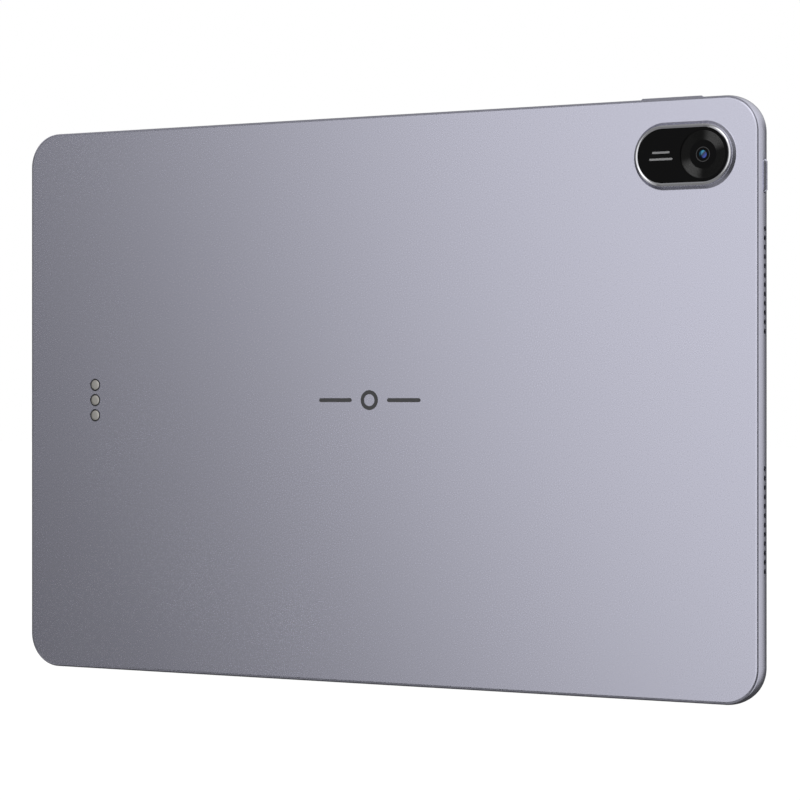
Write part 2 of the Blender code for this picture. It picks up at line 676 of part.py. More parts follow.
def make_volume_key():
    """The volume key, which rocks about its middle, with its two switches and circuit."""
    reach = VOLUME_KEY_LENGTH / 2 + KEY_FLANGE_REACH
    swing = reach * math.sin(VOLUME_KEY_TILT) + KEY_GAP
    sections = key_sections(VOLUME_KEY_LENGTH, VOLUME_KEY_PROUD, swing)
    pivot = sections[0][2]
    rings = [(length, width, width, depth - pivot) for length, width, depth in sections]
    pivot_z = HALF_HEIGHT + pivot
    loft("volume_key", "anodised_aluminium", "Z", rings, KEY_STEPS, (VOLUME_KEY_X, KEY_Y, pivot_z))
    flange_bottom = pivot_z + KEY_NUB
    drop = (VOLUME_SWITCH_SPREAD + SWITCH_LENGTH / 2) * math.sin(VOLUME_KEY_TILT) + LAYER_GAP
    switch_top = flange_bottom - drop
    switch_bottom = switch_top - SWITCH_HEIGHT
    half_width = KEY_WIDTH / 2
    y_span = (KEY_Y - half_width, KEY_Y + half_width)
    for name, side in (("volume_up_switch", 1), ("volume_down_switch", -1)):
        x = VOLUME_KEY_X + side * VOLUME_SWITCH_SPREAD
        x_span = (x - SWITCH_LENGTH / 2, x + SWITCH_LENGTH / 2)
        plate(name, "plated_steel", x_span, y_span, (switch_bottom, switch_top))
    flex_top = switch_bottom - LAYER_GAP
    half = VOLUME_KEY_LENGTH / 2
    plate(
        "volume_key_flex", "flex_film", (VOLUME_KEY_X - half, VOLUME_KEY_X + half), y_span,
        (flex_top - FLEX_THICKNESS, flex_top),
    )


def make_speakers():
    """Four sealed speaker boxes and the fine mesh behind each row of holes."""
    for side, side_name in ((-1, "left"), (1, "right")):
        for level, level_name in ((-1, "lower"), (1, "upper")):
            middle = level * SPEAKER_FROM_MIDDLE
            half = SPEAKER_LENGTH / 2
            z_span = (middle - half, middle + half)
            x_span = sorted((side * SPEAKER_INNER_X, side * SPEAKER_OUTER_X))
            plate(
                f"speaker_{level_name}_{side_name}", "black_plastic", x_span,
                (CELL_BACK, CELL_FRONT), z_span, SPEAKER_MARGIN,
            )
            near = INNER_X - FIT_GAP
            x_span = sorted((side * (near - SPEAKER_MESH_THICKNESS), side * near))
            reach = SOUND_HOLE_RADIUS + FIT_GAP
            plate(
                f"speaker_mesh_{level_name}_{side_name}", "nickel_mesh", x_span,
                (SOUND_HOLE_Y - reach, SOUND_HOLE_Y + reach), z_span,
            )


def make_microphones():
    """Two microphones behind the pinholes in the top edge."""
    for side, side_name in ((-1, "left"), (1, "right")):
        x = side * (HALF_WIDTH - MICROPHONE_FROM_SIDE)
        top = INNER_Z - FIT_GAP
        half_width = KEY_WIDTH / 2
        plate(
            f"microphone_{side_name}", "plated_steel",
            (x - MICROPHONE_LENGTH / 2, x + MICROPHONE_LENGTH / 2),
            (KEY_Y - half_width, KEY_Y + half_width), (top - MICROPHONE_HEIGHT, top),
        )


def make_dock():
    """Three dock contacts in a plastic carrier, their circuit and the holding magnets."""
    carrier_back = FLOOR + LAYER_GAP
    carrier_front = carrier_back + DOCK_CARRIER_THICKNESS
    half_width = DOCK_CARRIER_WIDTH / 2
    half_height = DOCK_PITCH + half_width
    carrier = plate(
        "dock_contact_carrier", "black_plastic", (DOCK_X - half_width, DOCK_X + half_width),
        (carrier_back, carrier_front), (-half_height, half_height), half_width, KEY_STEPS,
    )
    flange_back = carrier_front + LAYER_GAP
    flange_front = flange_back + DOCK_FLANGE_THICKNESS
    for step, place_name in ((1, "upper"), (0, "middle"), (-1, "lower")):
        centre = (DOCK_X, 0, step * DOCK_PITCH)
        middle_depth = (carrier_back + carrier_front) / 2
        sections = [(DOCK_COLLAR_RADIUS, 0), (DOCK_COLLAR_RADIUS, middle_depth)]
        collar = turned(f"collar_{place_name}", "black_plastic", sections, centre)
        boolean(carrier, collar, "UNION")
        bore = DOCK_CONTACT_RADIUS + LAYER_GAP
        sections = [(bore, -carrier_front), (bore, 2 * carrier_front)]
        boolean(carrier, turned(f"bore_{place_name}", "black_plastic", sections, centre), "DIFFERENCE")
        sections = (
            (DOCK_CONTACT_RADIUS, 0),
            (DOCK_CONTACT_RADIUS, flange_back),
            (DOCK_FLANGE_RADIUS, flange_back),
            (DOCK_FLANGE_RADIUS, flange_front),
        )
        turned(f"dock_contact_{place_name}", "contact_metal", sections, centre)
    flex_back = flange_front + LAYER_GAP
    plate(
        "dock_flex", "flex_film",
        (DOCK_X + half_width - DOCK_FLEX_WIDTH, DOCK_X + half_width),
        (flex_back, flex_back + FLEX_THICKNESS), (-half_height, half_height),
    )
    for side, side_name in ((1, "upper"), (-1, "lower")):
        near = half_height + 2 * PART_GAP
        z_span = sorted((side * near, side * (near + MAGNET_LENGTH)))
        plate(
            f"dock_magnet_{side_name}", "magnet_plate",
            (DOCK_X - MAGNET_WIDTH / 2, DOCK_X + MAGNET_WIDTH / 2),
            (FIRST_LAYER, FIRST_LAYER + MAGNET_THICKNESS), z_span,
        )


def make_port():
    """The charging port's steel shell and tongue, on their own small board."""
    outer_a, outer_b = PORT_WIDTH / 2, PORT_LENGTH / 2
    inner_a, inner_b = outer_a - PORT_WALL, outer_b - PORT_WALL
    mouth = 0
    floor = PORT_DEPTH - PORT_WALL
    sections = (
        (outer_a, outer_b, outer_a, PORT_DEPTH),
        (outer_a, outer_b, outer_a, mouth),
        (inner_a, inner_b, inner_a, mouth),
        (inner_a, inner_b, inner_a, floor),
    )
    place = (PORT_RECESS - HALF_WIDTH, PORT_Y, 0)
    loft("usb_port_shell", "plated_steel", "X", sections, KEY_STEPS, place)
    tongue_end = place[0] + floor - LAYER_GAP
    half = PORT_TONGUE_THICKNESS / 2
    plate(
        "usb_port_tongue", "black_plastic", (tongue_end - PORT_TONGUE_DEPTH, tongue_end),
        (PORT_Y - half, PORT_Y + half),
        (-PORT_TONGUE_LENGTH / 2, PORT_TONGUE_LENGTH / 2),
    )
    plate(
        "usb_board", "circuit_board", (USB_BOARD_LEFT, USB_BOARD_RIGHT),
        (USB_BOARD_BACK, USB_BOARD_FRONT), (-USB_BOARD_HEIGHT / 2, USB_BOARD_HEIGHT / 2),
        BOARD_CORNER,
    )


def make_main_board():
    """The main board on its bosses, with two shields, a heat spreader and four screws."""
    board = plate(
        "main_board", "circuit_board", (BOARD_LEFT, BOARD_RIGHT), (BOARD_BACK, BOARD_FRONT),
        (BOARD_BOTTOM, BOARD_TOP), BOARD_CORNER,
    )
    for number, (x, z) in enumerate(board_screw_places()):
        hole_radius = SCREW_RADIUS + FIT_GAP
        sections = [(hole_radius, FLOOR), (hole_radius, BODY_DEPTH)]
        hole = turned(f"board_hole_{number}", "circuit_board", sections, (x, 0, z))
        boolean(board, hole, "DIFFERENCE")
        head = BOARD_FRONT + LAYER_GAP
        sections = (
            (SCREW_RADIUS, FLOOR + BOSS_HEIGHT / 3),
            (SCREW_RADIUS, head),
            (SCREW_HEAD_RADIUS, head),
            (SCREW_HEAD_RADIUS, head + SCREW_HEAD_HEIGHT),
        )
        turned(f"board_screw_{number + 1}", "plated_steel", sections, (x, 0, z), sides=12)
    shield_front = BOARD_BACK - LAYER_GAP
    shield_back = FIRST_LAYER + GRAPHITE_THICKNESS + LAYER_GAP
    middle = (BOARD_BOTTOM + BOARD_TOP) / 2
    x_span = (BOARD_LEFT + SHIELD_MARGIN, BOARD_RIGHT - SHIELD_MARGIN)
    shields = (
        ("processor_shield", (middle + PART_GAP, BOARD_TOP - SHIELD_MARGIN)),
        ("power_shield", (BOARD_BOTTOM + SHIELD_MARGIN, middle - PART_GAP)),
    )
    for name, z_span in shields:
        plate(name, "plated_steel", x_span, (shield_back, shield_front), z_span, BOARD_CORNER)
    spreader = (FIRST_LAYER, FIRST_LAYER + GRAPHITE_THICKNESS)
    z_span = (BOARD_BOTTOM + SHIELD_MARGIN, BOARD_TOP - SHIELD_MARGIN)
    plate("heat_spreader", "graphite", x_span, spreader, z_span)


def make_cells():
    """Two battery cells on adhesive pads, and their protection board."""
    z_span = (CELLS_BOTTOM, CELLS_TOP)
    for index, side_name in enumerate(("left", "right")):
        left = CELLS_LEFT + index * (CELL_WIDTH + CELL_SPACE)
        middle = (left + CELL_WIDTH / 2, 0, (CELLS_BOTTOM + CELLS_TOP) / 2)
        half_x, half_z = CELL_WIDTH / 2, (CELLS_TOP - CELLS_BOTTOM) / 2
        slim = CELL_CHAMFER
        sections = (
            (half_x - slim, half_z - slim, CELL_CORNER - slim, CELL_BACK),
            (half_x, half_z, CELL_CORNER, CELL_BACK + slim),
            (half_x, half_z, CELL_CORNER, CELL_FRONT - slim),
            (half_x - slim, half_z - slim, CELL_CORNER - slim, CELL_FRONT),
        )
        loft(f"battery_cell_{side_name}", "cell_foil", "Y", sections, SMALL_STEPS, middle)
        x_span = (left + CELL_PAD_MARGIN, left + CELL_WIDTH - CELL_PAD_MARGIN)
        plate(
            f"battery_pad_{side_name}", "tape", x_span,
            (FIRST_LAYER, FIRST_LAYER + CELL_PAD_THICKNESS),
            (z_span[0] + CELL_PAD_MARGIN, z_span[1] - CELL_PAD_MARGIN),
        )
    middle_x = (CELLS_LEFT + CELLS_RIGHT) / 2
    bottom = CELLS_TOP + PART_GAP
    plate(
        "battery_board", "circuit_board",
        (middle_x - CELL_BOARD_WIDTH / 2, middle_x + CELL_BOARD_WIDTH / 2),
        (CELL_BACK, CELL_BACK + CELL_BOARD_THICKNESS), (bottom, bottom + CELL_BOARD_HEIGHT),
    )


def make_flexes():
    """The long circuit from the port's board to the main board, and the display's."""
    level = (FLEX_BACK + FLEX_FRONT) / 2
    port_level = USB_BOARD_FRONT + LAYER_GAP + FLEX_THICKNESS
    start = USB_BOARD_RIGHT - BOARD_CORNER
    main_level = BOARD_FRONT + LAYER_GAP + FLEX_THICKNESS
    path = (
        (start - BOARD_CORNER, port_level),
        (start, port_level),
        (start + 2 * BOARD_CORNER, level),
        (CELLS_RIGHT, level),
        (BOARD_LEFT + 2 * BOARD_CORNER, main_level),
        (BOARD_LEFT + SHIELD_MARGIN, main_level),
    )
    ribbon("main_flex", "flex_film", "Z", path, MAIN_FLEX_WIDTH, 0)
    panel_edge = PANEL_BORDER - HALF_HEIGHT
    fold = panel_edge - 2 * PART_GAP
    path = (
        (panel_edge - PART_GAP, PANEL_FRONT - FLEX_THICKNESS),
        (fold, PANEL_BACK),
        (fold, PLATE_FRONT),
        (panel_edge, level),
        (BOARD_BOTTOM - BOARD_CORNER, level),
        (BOARD_BOTTOM + BOARD_CORNER, main_level),
        (BOARD_BOTTOM + SHIELD_MARGIN, main_level),
    )
    board_middle = (BOARD_LEFT + BOARD_RIGHT) / 2
    ribbon("display_flex", "flex_film", "X", path, DISPLAY_FLEX_WIDTH, board_middle)


def make_antennas():
    """Two wireless antennas on plastic carriers along the top edge."""
    top = INNER_Z - PART_GAP
    for side, side_name in ((-1, "left"), (1, "right")):
        near, far = ANTENNA_FROM_MIDDLE, ANTENNA_FROM_MIDDLE + ANTENNA_LENGTH
        x_span = sorted((side * near, side * far))
        plate(
            f"antenna_{side_name}", "black_plastic", x_span, (CELL_BACK, CELL_FRONT),
            (top - ANTENNA_HEIGHT, top), PART_GAP,
        )


def make_front_sensors():
    """The front camera and the light sensor, under the glass above the panel."""
    centre_z = HALF_HEIGHT - (SHELF_INSET + PANEL_BORDER) / 2
    half = INNER_Z - PART_GAP - centre_z
    barrel = (PANEL_BORDER - SHELF_INSET) / 2 - PART_GAP
    sections = (
        (half, half, PART_GAP, CELL_BACK),
        (half, half, PART_GAP, CELL_FRONT),
        (barrel, barrel, barrel, CELL_FRONT),
        (barrel, barrel, barrel, GLASS_BACK - LAYER_GAP),
    )
    loft("front_camera_module", "lens_black", "Y", sections, 4, (0, 0, centre_z))
    x = LIGHT_SENSOR_FROM_MIDDLE
    front = GLASS_BACK - LAYER_GAP
    plate(
        "light_sensor", "lens_black",
        (x - LIGHT_SENSOR_LENGTH / 2, x + LIGHT_SENSOR_LENGTH / 2),
        (front - LIGHT_SENSOR_THICKNESS, front),
        (centre_z - LIGHT_SENSOR_HEIGHT / 2, centre_z + LIGHT_SENSOR_HEIGHT / 2),
    )


clear_scene()
make_housing()
make_display()
make_rear_camera()
make_power_key()
make_volume_key()
make_speakers()
make_microphones()
make_dock()
make_port()
make_main_board()
make_cells()
make_flexes()
make_antennas()
make_front_sensors()
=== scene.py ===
import math

import bmesh
import bpy
from mathutils import Matrix, Vector


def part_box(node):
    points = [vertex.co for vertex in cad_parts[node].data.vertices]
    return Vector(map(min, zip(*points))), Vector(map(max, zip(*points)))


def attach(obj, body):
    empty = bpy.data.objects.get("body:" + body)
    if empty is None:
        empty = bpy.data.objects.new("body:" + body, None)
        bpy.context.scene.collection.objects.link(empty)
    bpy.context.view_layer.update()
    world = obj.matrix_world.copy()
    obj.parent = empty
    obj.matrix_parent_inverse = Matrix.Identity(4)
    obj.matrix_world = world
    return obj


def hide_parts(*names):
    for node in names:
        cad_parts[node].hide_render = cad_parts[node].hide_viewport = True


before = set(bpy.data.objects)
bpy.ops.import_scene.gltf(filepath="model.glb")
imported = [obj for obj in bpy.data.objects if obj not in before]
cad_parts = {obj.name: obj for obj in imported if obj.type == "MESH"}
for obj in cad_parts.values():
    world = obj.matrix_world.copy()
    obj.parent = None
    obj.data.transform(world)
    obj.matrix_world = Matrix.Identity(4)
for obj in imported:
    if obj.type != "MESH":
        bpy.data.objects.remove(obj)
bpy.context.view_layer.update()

# ---------------------------------------------------------------------------------------------
# Rear housing. The real one is a single tray milled from aluminium plate, then bead-blasted and
# anodised lilac grey: flat back, rounded edges, slightly full sides, a step for the display all
# round the front, a raised foot for the camera ring, and drilled sound, key, port and dock holes.
# ---------------------------------------------------------------------------------------------
MM = 0.001  # lengths are in metres; one written without MM is in millimetres, as climb takes it
TINY = 1e-6
BODY = "tablet_body"
SIDE_FULLNESS = 0.22 * MM
HOUSING_CORNER = 11.0 * MM - SIDE_FULLNESS
BACK_EDGE_RADIUS = 1.0 * MM
LIP_EDGE_RADIUS = 0.25 * MM
LIP_WIDTH = 0.75 * MM
LEDGE_Y = 5.41 * MM
LEDGE_WIDTH = 0.85 * MM
FLOOR_Y = 0.80 * MM
SIDE_LOOPS = (1.9, 2.9, 3.8, 4.7, 5.5)
housing_low, housing_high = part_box("rear_housing")
HALF_WIDTH = housing_high.x - SIDE_FULLNESS
HALF_HEIGHT = housing_high.z - SIDE_FULLNESS
LIP_Y = housing_high.y


def add(kind, name, **placing):
    """Starts a piece from a primitive, with its place in its mesh, and opens it for editing."""
    bpy.ops.object.select_all(action="DESELECT")
    getattr(bpy.ops.mesh, f"primitive_{kind}_add")(**placing)
    piece = bpy.context.object
    piece.name = piece.data.name = name
    bpy.ops.object.transform_apply(location=True, rotation=True, scale=True)
    bpy.ops.object.mode_set(mode="EDIT")
    return piece


def middle(face):
    """The middle of a face."""
    return sum((v.co for v in face.verts), Vector()) / len(face.verts)


def pick(kind, wanted):
    """Selects only those vertices, edges or faces of the open mesh that pass the test."""
    bpy.ops.mesh.select_mode(type=kind)
    bpy.ops.mesh.select_all(action="DESELECT")
    data = bpy.context.object.data
    mesh = bmesh.from_edit_mesh(data)
    for item in {"VERT": mesh.verts, "EDGE": mesh.edges, "FACE": mesh.faces}[kind]:
        if wanted(item):
            item.select_set(True)
    mesh.select_flush_mode()
    bmesh.update_edit_mesh(data)


def push(x=0.0, y=0.0, z=0.0):
    """Extrudes what is selected by that much."""
    bpy.ops.mesh.extrude_region_move(TRANSFORM_OT_translate={"value": (x, y, z)})


def climb(profile):
    """Takes the selected face through points in mm: in from its edge, and up from its start."""
    inward, upward = 0.0, 0.0
    for step_in, step_up in profile:
        bpy.ops.mesh.inset(
            thickness=(step_in - inward) * MM, depth=(step_up - upward) * MM
        )
        inward, upward = step_in, step_up


def pill(name, length, height, sides=96):
    """A flat pill-shaped face round the origin, long along X, facing the back, open for editing."""
    piece = add(
        "circle", name, vertices=sides, radius=height / 2, fill_type="NGON",
        rotation=(math.pi / 2, math.pi / sides, 0),
    )
    for side in (1, -1):
        pick("VERT", lambda v: v.co.x * side > 0)
        bpy.ops.transform.translate(value=(side * (length - height) / 2, 0, 0))
    pick("FACE", lambda f: True)
    return piece


def stand(piece, place, along=(1, 0, 0), inward=(0, 1, 0)):
    """Closes the piece and sets it at its place: X turns to along, and Y, its depth, to inward."""
    bpy.ops.object.mode_set(mode="OBJECT")
    x, y = Vector(along), Vector(inward)
    turn = Matrix((x, y, x.cross(y))).transposed().to_4x4()
    piece.data.transform(Matrix.Translation(place) @ turn)
    return piece


def copies(piece, name, places):
    """Copies of a piece, each with its own mesh, moved on by each of the places."""
    made = []
    for number, place in enumerate(places, 1):
        twin = piece.copy()
        twin.data = piece.data.copy()
        twin.name = twin.data.name = f"{name}_{number}"
        bpy.context.scene.collection.objects.link(twin)
        twin.data.transform(Matrix.Translation(place))
        made.append(twin)
    return made


def join(pieces):
    """Joins pieces into the first one."""
    bpy.ops.object.select_all(action="DESELECT")
    for piece in pieces:
        piece.select_set(True)
    bpy.context.view_layer.objects.active = pieces[0]
    bpy.ops.object.join()
    return pieces[0]


def boolean(piece, tool, operation):
    """Adds the tool's shape to the piece, or takes it away, and removes the tool."""
    bpy.ops.object.select_all(action="DESELECT")
    bpy.context.view_layer.objects.active = piece
    piece.select_set(True)
    step = piece.modifiers.new("step", "BOOLEAN")
    step.operation, step.solver, step.object = operation, "EXACT", tool
    bpy.ops.object.modifier_apply(modifier=step.name)
    bpy.data.objects.remove(tool)


def complete(piece, material, body, slot, *nodes, angle=32):
    """Closes the mesh, smooths it with flat faces kept flat, and gives it finish and body; its slot
    is not used.
    """
    if piece.mode == "EDIT":
        bpy.ops.object.mode_set(mode="OBJECT")
    bpy.ops.object.select_all(action="DESELECT")
    bpy.context.view_layer.objects.active = piece
    piece.select_set(True)
    bpy.ops.object.mode_set(mode="EDIT")
    bpy.ops.mesh.select_all(action="SELECT")
    bpy.ops.mesh.remove_doubles(threshold=TINY)
    bpy.ops.mesh.normals_make_consistent(inside=False)
    bpy.ops.object.mode_set(mode="OBJECT")
    bpy.ops.object.shade_smooth_by_angle(angle=math.radians(angle))
    even = piece.modifiers.new("even", "WEIGHTED_NORMAL")
    even.keep_sharp = True
    bpy.ops.object.modifier_apply(modifier=even.name)
    piece.data.materials.clear()
    piece.data.materials.append(material)
    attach(piece, body)
    if nodes:
        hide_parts(*nodes)
    return piece


def finish_of(name, colour, metallic, roughness, **more):
    """A material with its plain values on the shader's own sockets, and its object coordinates."""
    material = bpy.data.materials.new(name)
    material.use_nodes = True
    tree = material.node_tree
    shader = tree.nodes["Principled BSDF"]
    values = {"Base Color": (*colour, 1), "Metallic": metallic, "Roughness": roughness}
    values.update({key.replace("_", " "): value for key, value in more.items()})
    for socket, value in values.items():
        shader.inputs[socket].default_value = value
    place = tree.nodes.new("ShaderNodeTexCoord").outputs["Object"]
    return material, tree, shader, place


def group_of(name, inputs, outputs):
    """An empty node group with named inputs and outputs."""
    group = bpy.data.node_groups.new(name, "ShaderNodeTree")
    for socket, kind in inputs.items():
        group.interface.new_socket(socket, in_out="INPUT", socket_type=f"NodeSocket{kind}")
    for socket, kind in outputs.items():
        group.interface.new_socket(socket, in_out="OUTPUT", socket_type=f"NodeSocket{kind}")
    return group, group.nodes.new("NodeGroupInput"), group.nodes.new("NodeGroupOutput")


def node(tree, kind, links=(), **values):
    """A node with its settings or inputs set by name, and links made to its inputs by number."""
    made = tree.nodes.new(f"ShaderNode{kind}")
    for name, value in values.items():
        if name.startswith("in_"):
            made.inputs[name[3:].replace("_", " ")].default_value = value
        else:
            setattr(made, name, value)
    for socket, source in dict(links).items():
        tree.links.new(source, made.inputs[socket])
    return made


housing = add(
    "cube", "housing", size=1, location=(0, LIP_Y / 2, 0),
    scale=(2 * HALF_WIDTH, LIP_Y, 2 * HALF_HEIGHT),
)
pick("EDGE", lambda e: abs((e.verts[0].co - e.verts[1].co).y) > LIP_Y / 2)
bpy.ops.mesh.bevel(offset=HOUSING_CORNER, segments=24, affect="EDGES")
pick("EDGE", lambda e: all(abs(v.co.y) < TINY for v in e.verts))
bpy.ops.mesh.bevel(offset=BACK_EDGE_RADIUS, segments=8, affect="EDGES")
pick("EDGE", lambda e: all(v.co.y > LIP_Y - TINY for v in e.verts))
bpy.ops.mesh.bevel(offset=LIP_EDGE_RADIUS, segments=3, affect="EDGES")
side_middle = (BACK_EDGE_RADIUS + LIP_Y - LIP_EDGE_RADIUS) / 2
side_half = side_middle - BACK_EDGE_RADIUS
for level in SIDE_LOOPS:
    bpy.ops.mesh.select_all(action="SELECT")
    bpy.ops.mesh.bisect(plane_co=(0, level * MM, 0), plane_no=(0, 1, 0))
for level in SIDE_LOOPS:
    pick("VERT", lambda v: abs(v.co.y - level * MM) < TINY)
    share = 1 - ((level * MM - side_middle) / side_half) ** 2
    bpy.ops.transform.shrink_fatten(value=SIDE_FULLNESS * share)
pick("FACE", lambda f: middle(f).y > LIP_Y - TINY)
climb([((LIP_WIDTH - LIP_EDGE_RADIUS) / MM, 0)])
push(y=LEDGE_Y - LIP_Y)
climb([(LEDGE_WIDTH / MM, 0)])
push(y=FLOOR_Y - LEDGE_Y)
bpy.ops.object.mode_set(mode="OBJECT")

# The raised foot of the camera, milled with the housing: its flanks flare out to the back.
glass_low, glass_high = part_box("camera_glass")
CAMERA_SHIFT_X = -0.12 * MM
CAMERA_SHIFT_Z = 0.08 * MM
camera_place = Vector((
    (glass_low.x + glass_high.x) / 2 + CAMERA_SHIFT_X, 0,
    (glass_low.z + glass_high.z) / 2 + CAMERA_SHIFT_Z,
))
GLASS_TRIMMED = 0.22 * MM
GLASS_LENGTH = glass_high.x - glass_low.x - GLASS_TRIMMED
GLASS_HEIGHT = glass_high.z - glass_low.z - GLASS_TRIMMED
FOOT_OFFSET = 2.1
FOOT_RISE = 0.9
FOOT_FLARE = 1.1
FOOT_SUNK = 0.40
FLANK_START = 0.02
foot = pill(
    "camera_foot", GLASS_LENGTH + 2 * FOOT_OFFSET * MM, GLASS_HEIGHT + 2 * FOOT_OFFSET * MM
)
push(y=-(FOOT_SUNK - FLANK_START) * MM)
climb([(0.12, 0.03), (0.24, 0.09), (0.36, 0.19), (0.90, 0.78), (0.97, 0.85), (1.03, 0.89),
       (FOOT_FLARE, FLANK_START + FOOT_RISE)])
stand(foot, camera_place + Vector((0, FOOT_SUNK * MM, 0)))
boolean(housing, foot, "UNION")

# The cutters. Each starts a little outside the wall that it goes through.
CUT_START = 1.2 * MM
SOUND_HOLE_RADIUS = 0.80 * MM
SOUND_HOLE_PITCH = 2.70 * MM
SOUND_HOLE_Y = 4.25 * MM
SOUND_GROUP_Z = 34.70 * MM
HOLES_IN_GROUP = 12
HOLE_CHAMFER = 0.05
ROD_OVERRUN = 0.3
ROD_CONE = HOLE_CHAMFER + ROD_OVERRUN
side_share = 1 - ((SOUND_HOLE_Y - side_middle) / side_half) ** 2
hole_mouth = HALF_WIDTH + SIDE_FULLNESS * side_share
rod_start = -hole_mouth - ROD_OVERRUN * MM
rod = add("circle", "sound_rod", vertices=24, radius=SOUND_HOLE_RADIUS + ROD_CONE * MM,
          fill_type="NGON", rotation=(0, math.pi / 2, 0), location=(rod_start, SOUND_HOLE_Y, 0))
push(x=TINY)
pick("FACE", lambda f: middle(f).x > rod_start + TINY / 2 and len(f.verts) > 4)
climb([(ROD_CONE, ROD_CONE)])
push(x=2 * hole_mouth - 2 * HOLE_CHAMFER * MM)
climb([(-ROD_CONE, ROD_CONE)])
bpy.ops.object.mode_set(mode="OBJECT")
hole_rows = [
    [side * SOUND_GROUP_Z + (i - (HOLES_IN_GROUP - 1) / 2) * SOUND_HOLE_PITCH
     for i in range(HOLES_IN_GROUP)]
    for side in (-1, 1)
]
rods = copies(rod, "sound_rod", [(0, 0, height) for row in hole_rows for height in row])
bpy.data.objects.remove(rod)

CAMERA_OPENING_INSET = 0.24
CAMERA_OPENING_DEPTH = 3 * MM
opening = pill(
    "camera_opening", GLASS_LENGTH - 2 * CAMERA_OPENING_INSET * MM,
    GLASS_HEIGHT - 2 * CAMERA_OPENING_INSET * MM,
)
push(y=CAMERA_OPENING_DEPTH)
stand(opening, camera_place - Vector((0, CUT_START, 0)))

DOCK_HOLE_RADIUS = 1.94 * MM
DOCK_HOLE_CHAMFER = 0.1
DOCK_HOLE_DEPTH = 2.0
contact_places = []
for name in ("lower", "middle", "upper"):
    low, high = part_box(f"dock_contact_{name}")
    contact_places.append(Vector(((low.x + high.x) / 2, 0, (low.z + high.z) / 2)))
dock_hole = add("circle", "dock_hole", vertices=48, fill_type="NGON",
                radius=DOCK_HOLE_RADIUS + DOCK_HOLE_CHAMFER * MM,
                rotation=(-math.pi / 2, 0, 0), location=(0, -DOCK_HOLE_CHAMFER * MM, 0))
push(y=DOCK_HOLE_CHAMFER * MM)
pick("FACE", lambda f: middle(f).y > -TINY and len(f.verts) > 4)
climb([(DOCK_HOLE_CHAMFER, DOCK_HOLE_CHAMFER), (DOCK_HOLE_CHAMFER, DOCK_HOLE_DEPTH)])
bpy.ops.object.mode_set(mode="OBJECT")
dock_holes = copies(dock_hole, "dock_hole", contact_places)
bpy.data.objects.remove(dock_hole)

MICROPHONE_HOLE_RADIUS = 0.45 * MM
MICROPHONE_HOLE_DEPTH = 3 * MM
MICROPHONE_DRILL_LENGTH = 4 * MM
microphone_hole = add("circle", "microphone_hole", vertices=20, radius=MICROPHONE_HOLE_RADIUS,
                      fill_type="NGON", location=(0, 0, housing_high.z - MICROPHONE_HOLE_DEPTH))
push(z=MICROPHONE_DRILL_LENGTH)
bpy.ops.object.mode_set(mode="OBJECT")
microphone_places = []
for name in ("left", "right"):
    low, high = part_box(f"microphone_{name}")
    microphone_places.append(((low.x + high.x) / 2, (low.y + high.y) / 2, 0))
microphone_holes = copies(microphone_hole, "microphone_hole", microphone_places)
bpy.data.objects.remove(microphone_hole)

KEY_GAP = 0.10 * MM
KEY_END_GAP = 0.24 * MM
KEY_FLANGE = 0.90 * MM
KEY_SLOT_DEPTH = 3.6 * MM
power_low, power_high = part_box("power_key")
volume_low, volume_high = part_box("volume_key")
KEY_WIDTH = power_high.y - power_low.y
KEY_Y = (power_high.y + power_low.y) / 2
POWER_LENGTH = power_high.z - power_low.z - 2 * KEY_FLANGE
VOLUME_LENGTH = volume_high.x - volume_low.x - 2 * KEY_FLANGE
power_place = Vector((0, KEY_Y, (power_low.z + power_high.z) / 2))
volume_place = Vector(((volume_low.x + volume_high.x) / 2, KEY_Y, 0))
power_slot = pill("power_slot", POWER_LENGTH + 2 * KEY_END_GAP, KEY_WIDTH + 2 * KEY_GAP, 48)
push(y=KEY_SLOT_DEPTH)
stand(power_slot, power_place + Vector((HALF_WIDTH + CUT_START, 0, 0)), (0, 0, 1), (-1, 0, 0))
volume_slot = pill("volume_slot", VOLUME_LENGTH + 2 * KEY_END_GAP, KEY_WIDTH + 2 * KEY_GAP, 48)
push(y=KEY_SLOT_DEPTH)
stand(volume_slot, volume_place + Vector((0, 0, HALF_HEIGHT + CUT_START)), (1, 0, 0), (0, 0, -1))

PORT_GAP = 0.06 * MM
PORT_MOUTH_DEPTH = 4 * MM
port_low, port_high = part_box("usb_port_shell")
PORT_LENGTH = port_high.z - port_low.z
PORT_WIDTH = port_high.y - port_low.y
port_place = Vector((port_low.x, (port_low.y + port_high.y) / 2, 0))
port_mouth = pill("port_mouth", PORT_LENGTH + 2 * PORT_GAP, PORT_WIDTH + 2 * PORT_GAP, 64)
push(y=PORT_MOUTH_DEPTH)
stand(port_mouth, port_place - Vector((CUT_START, 0, 0)), (0, 0, 1), (1, 0, 0))

cutters = join(
    rods + [opening] + dock_holes + microphone_holes + [power_slot, volume_slot, port_mouth]
)
bpy.ops.object.mode_set(mode="EDIT")
bpy.ops.mesh.select_all(action="SELECT")
bpy.ops.mesh.normals_make_consistent(inside=False)
bpy.ops.object.mode_set(mode="OBJECT")
boolean(housing, cutters, "DIFFERENCE")

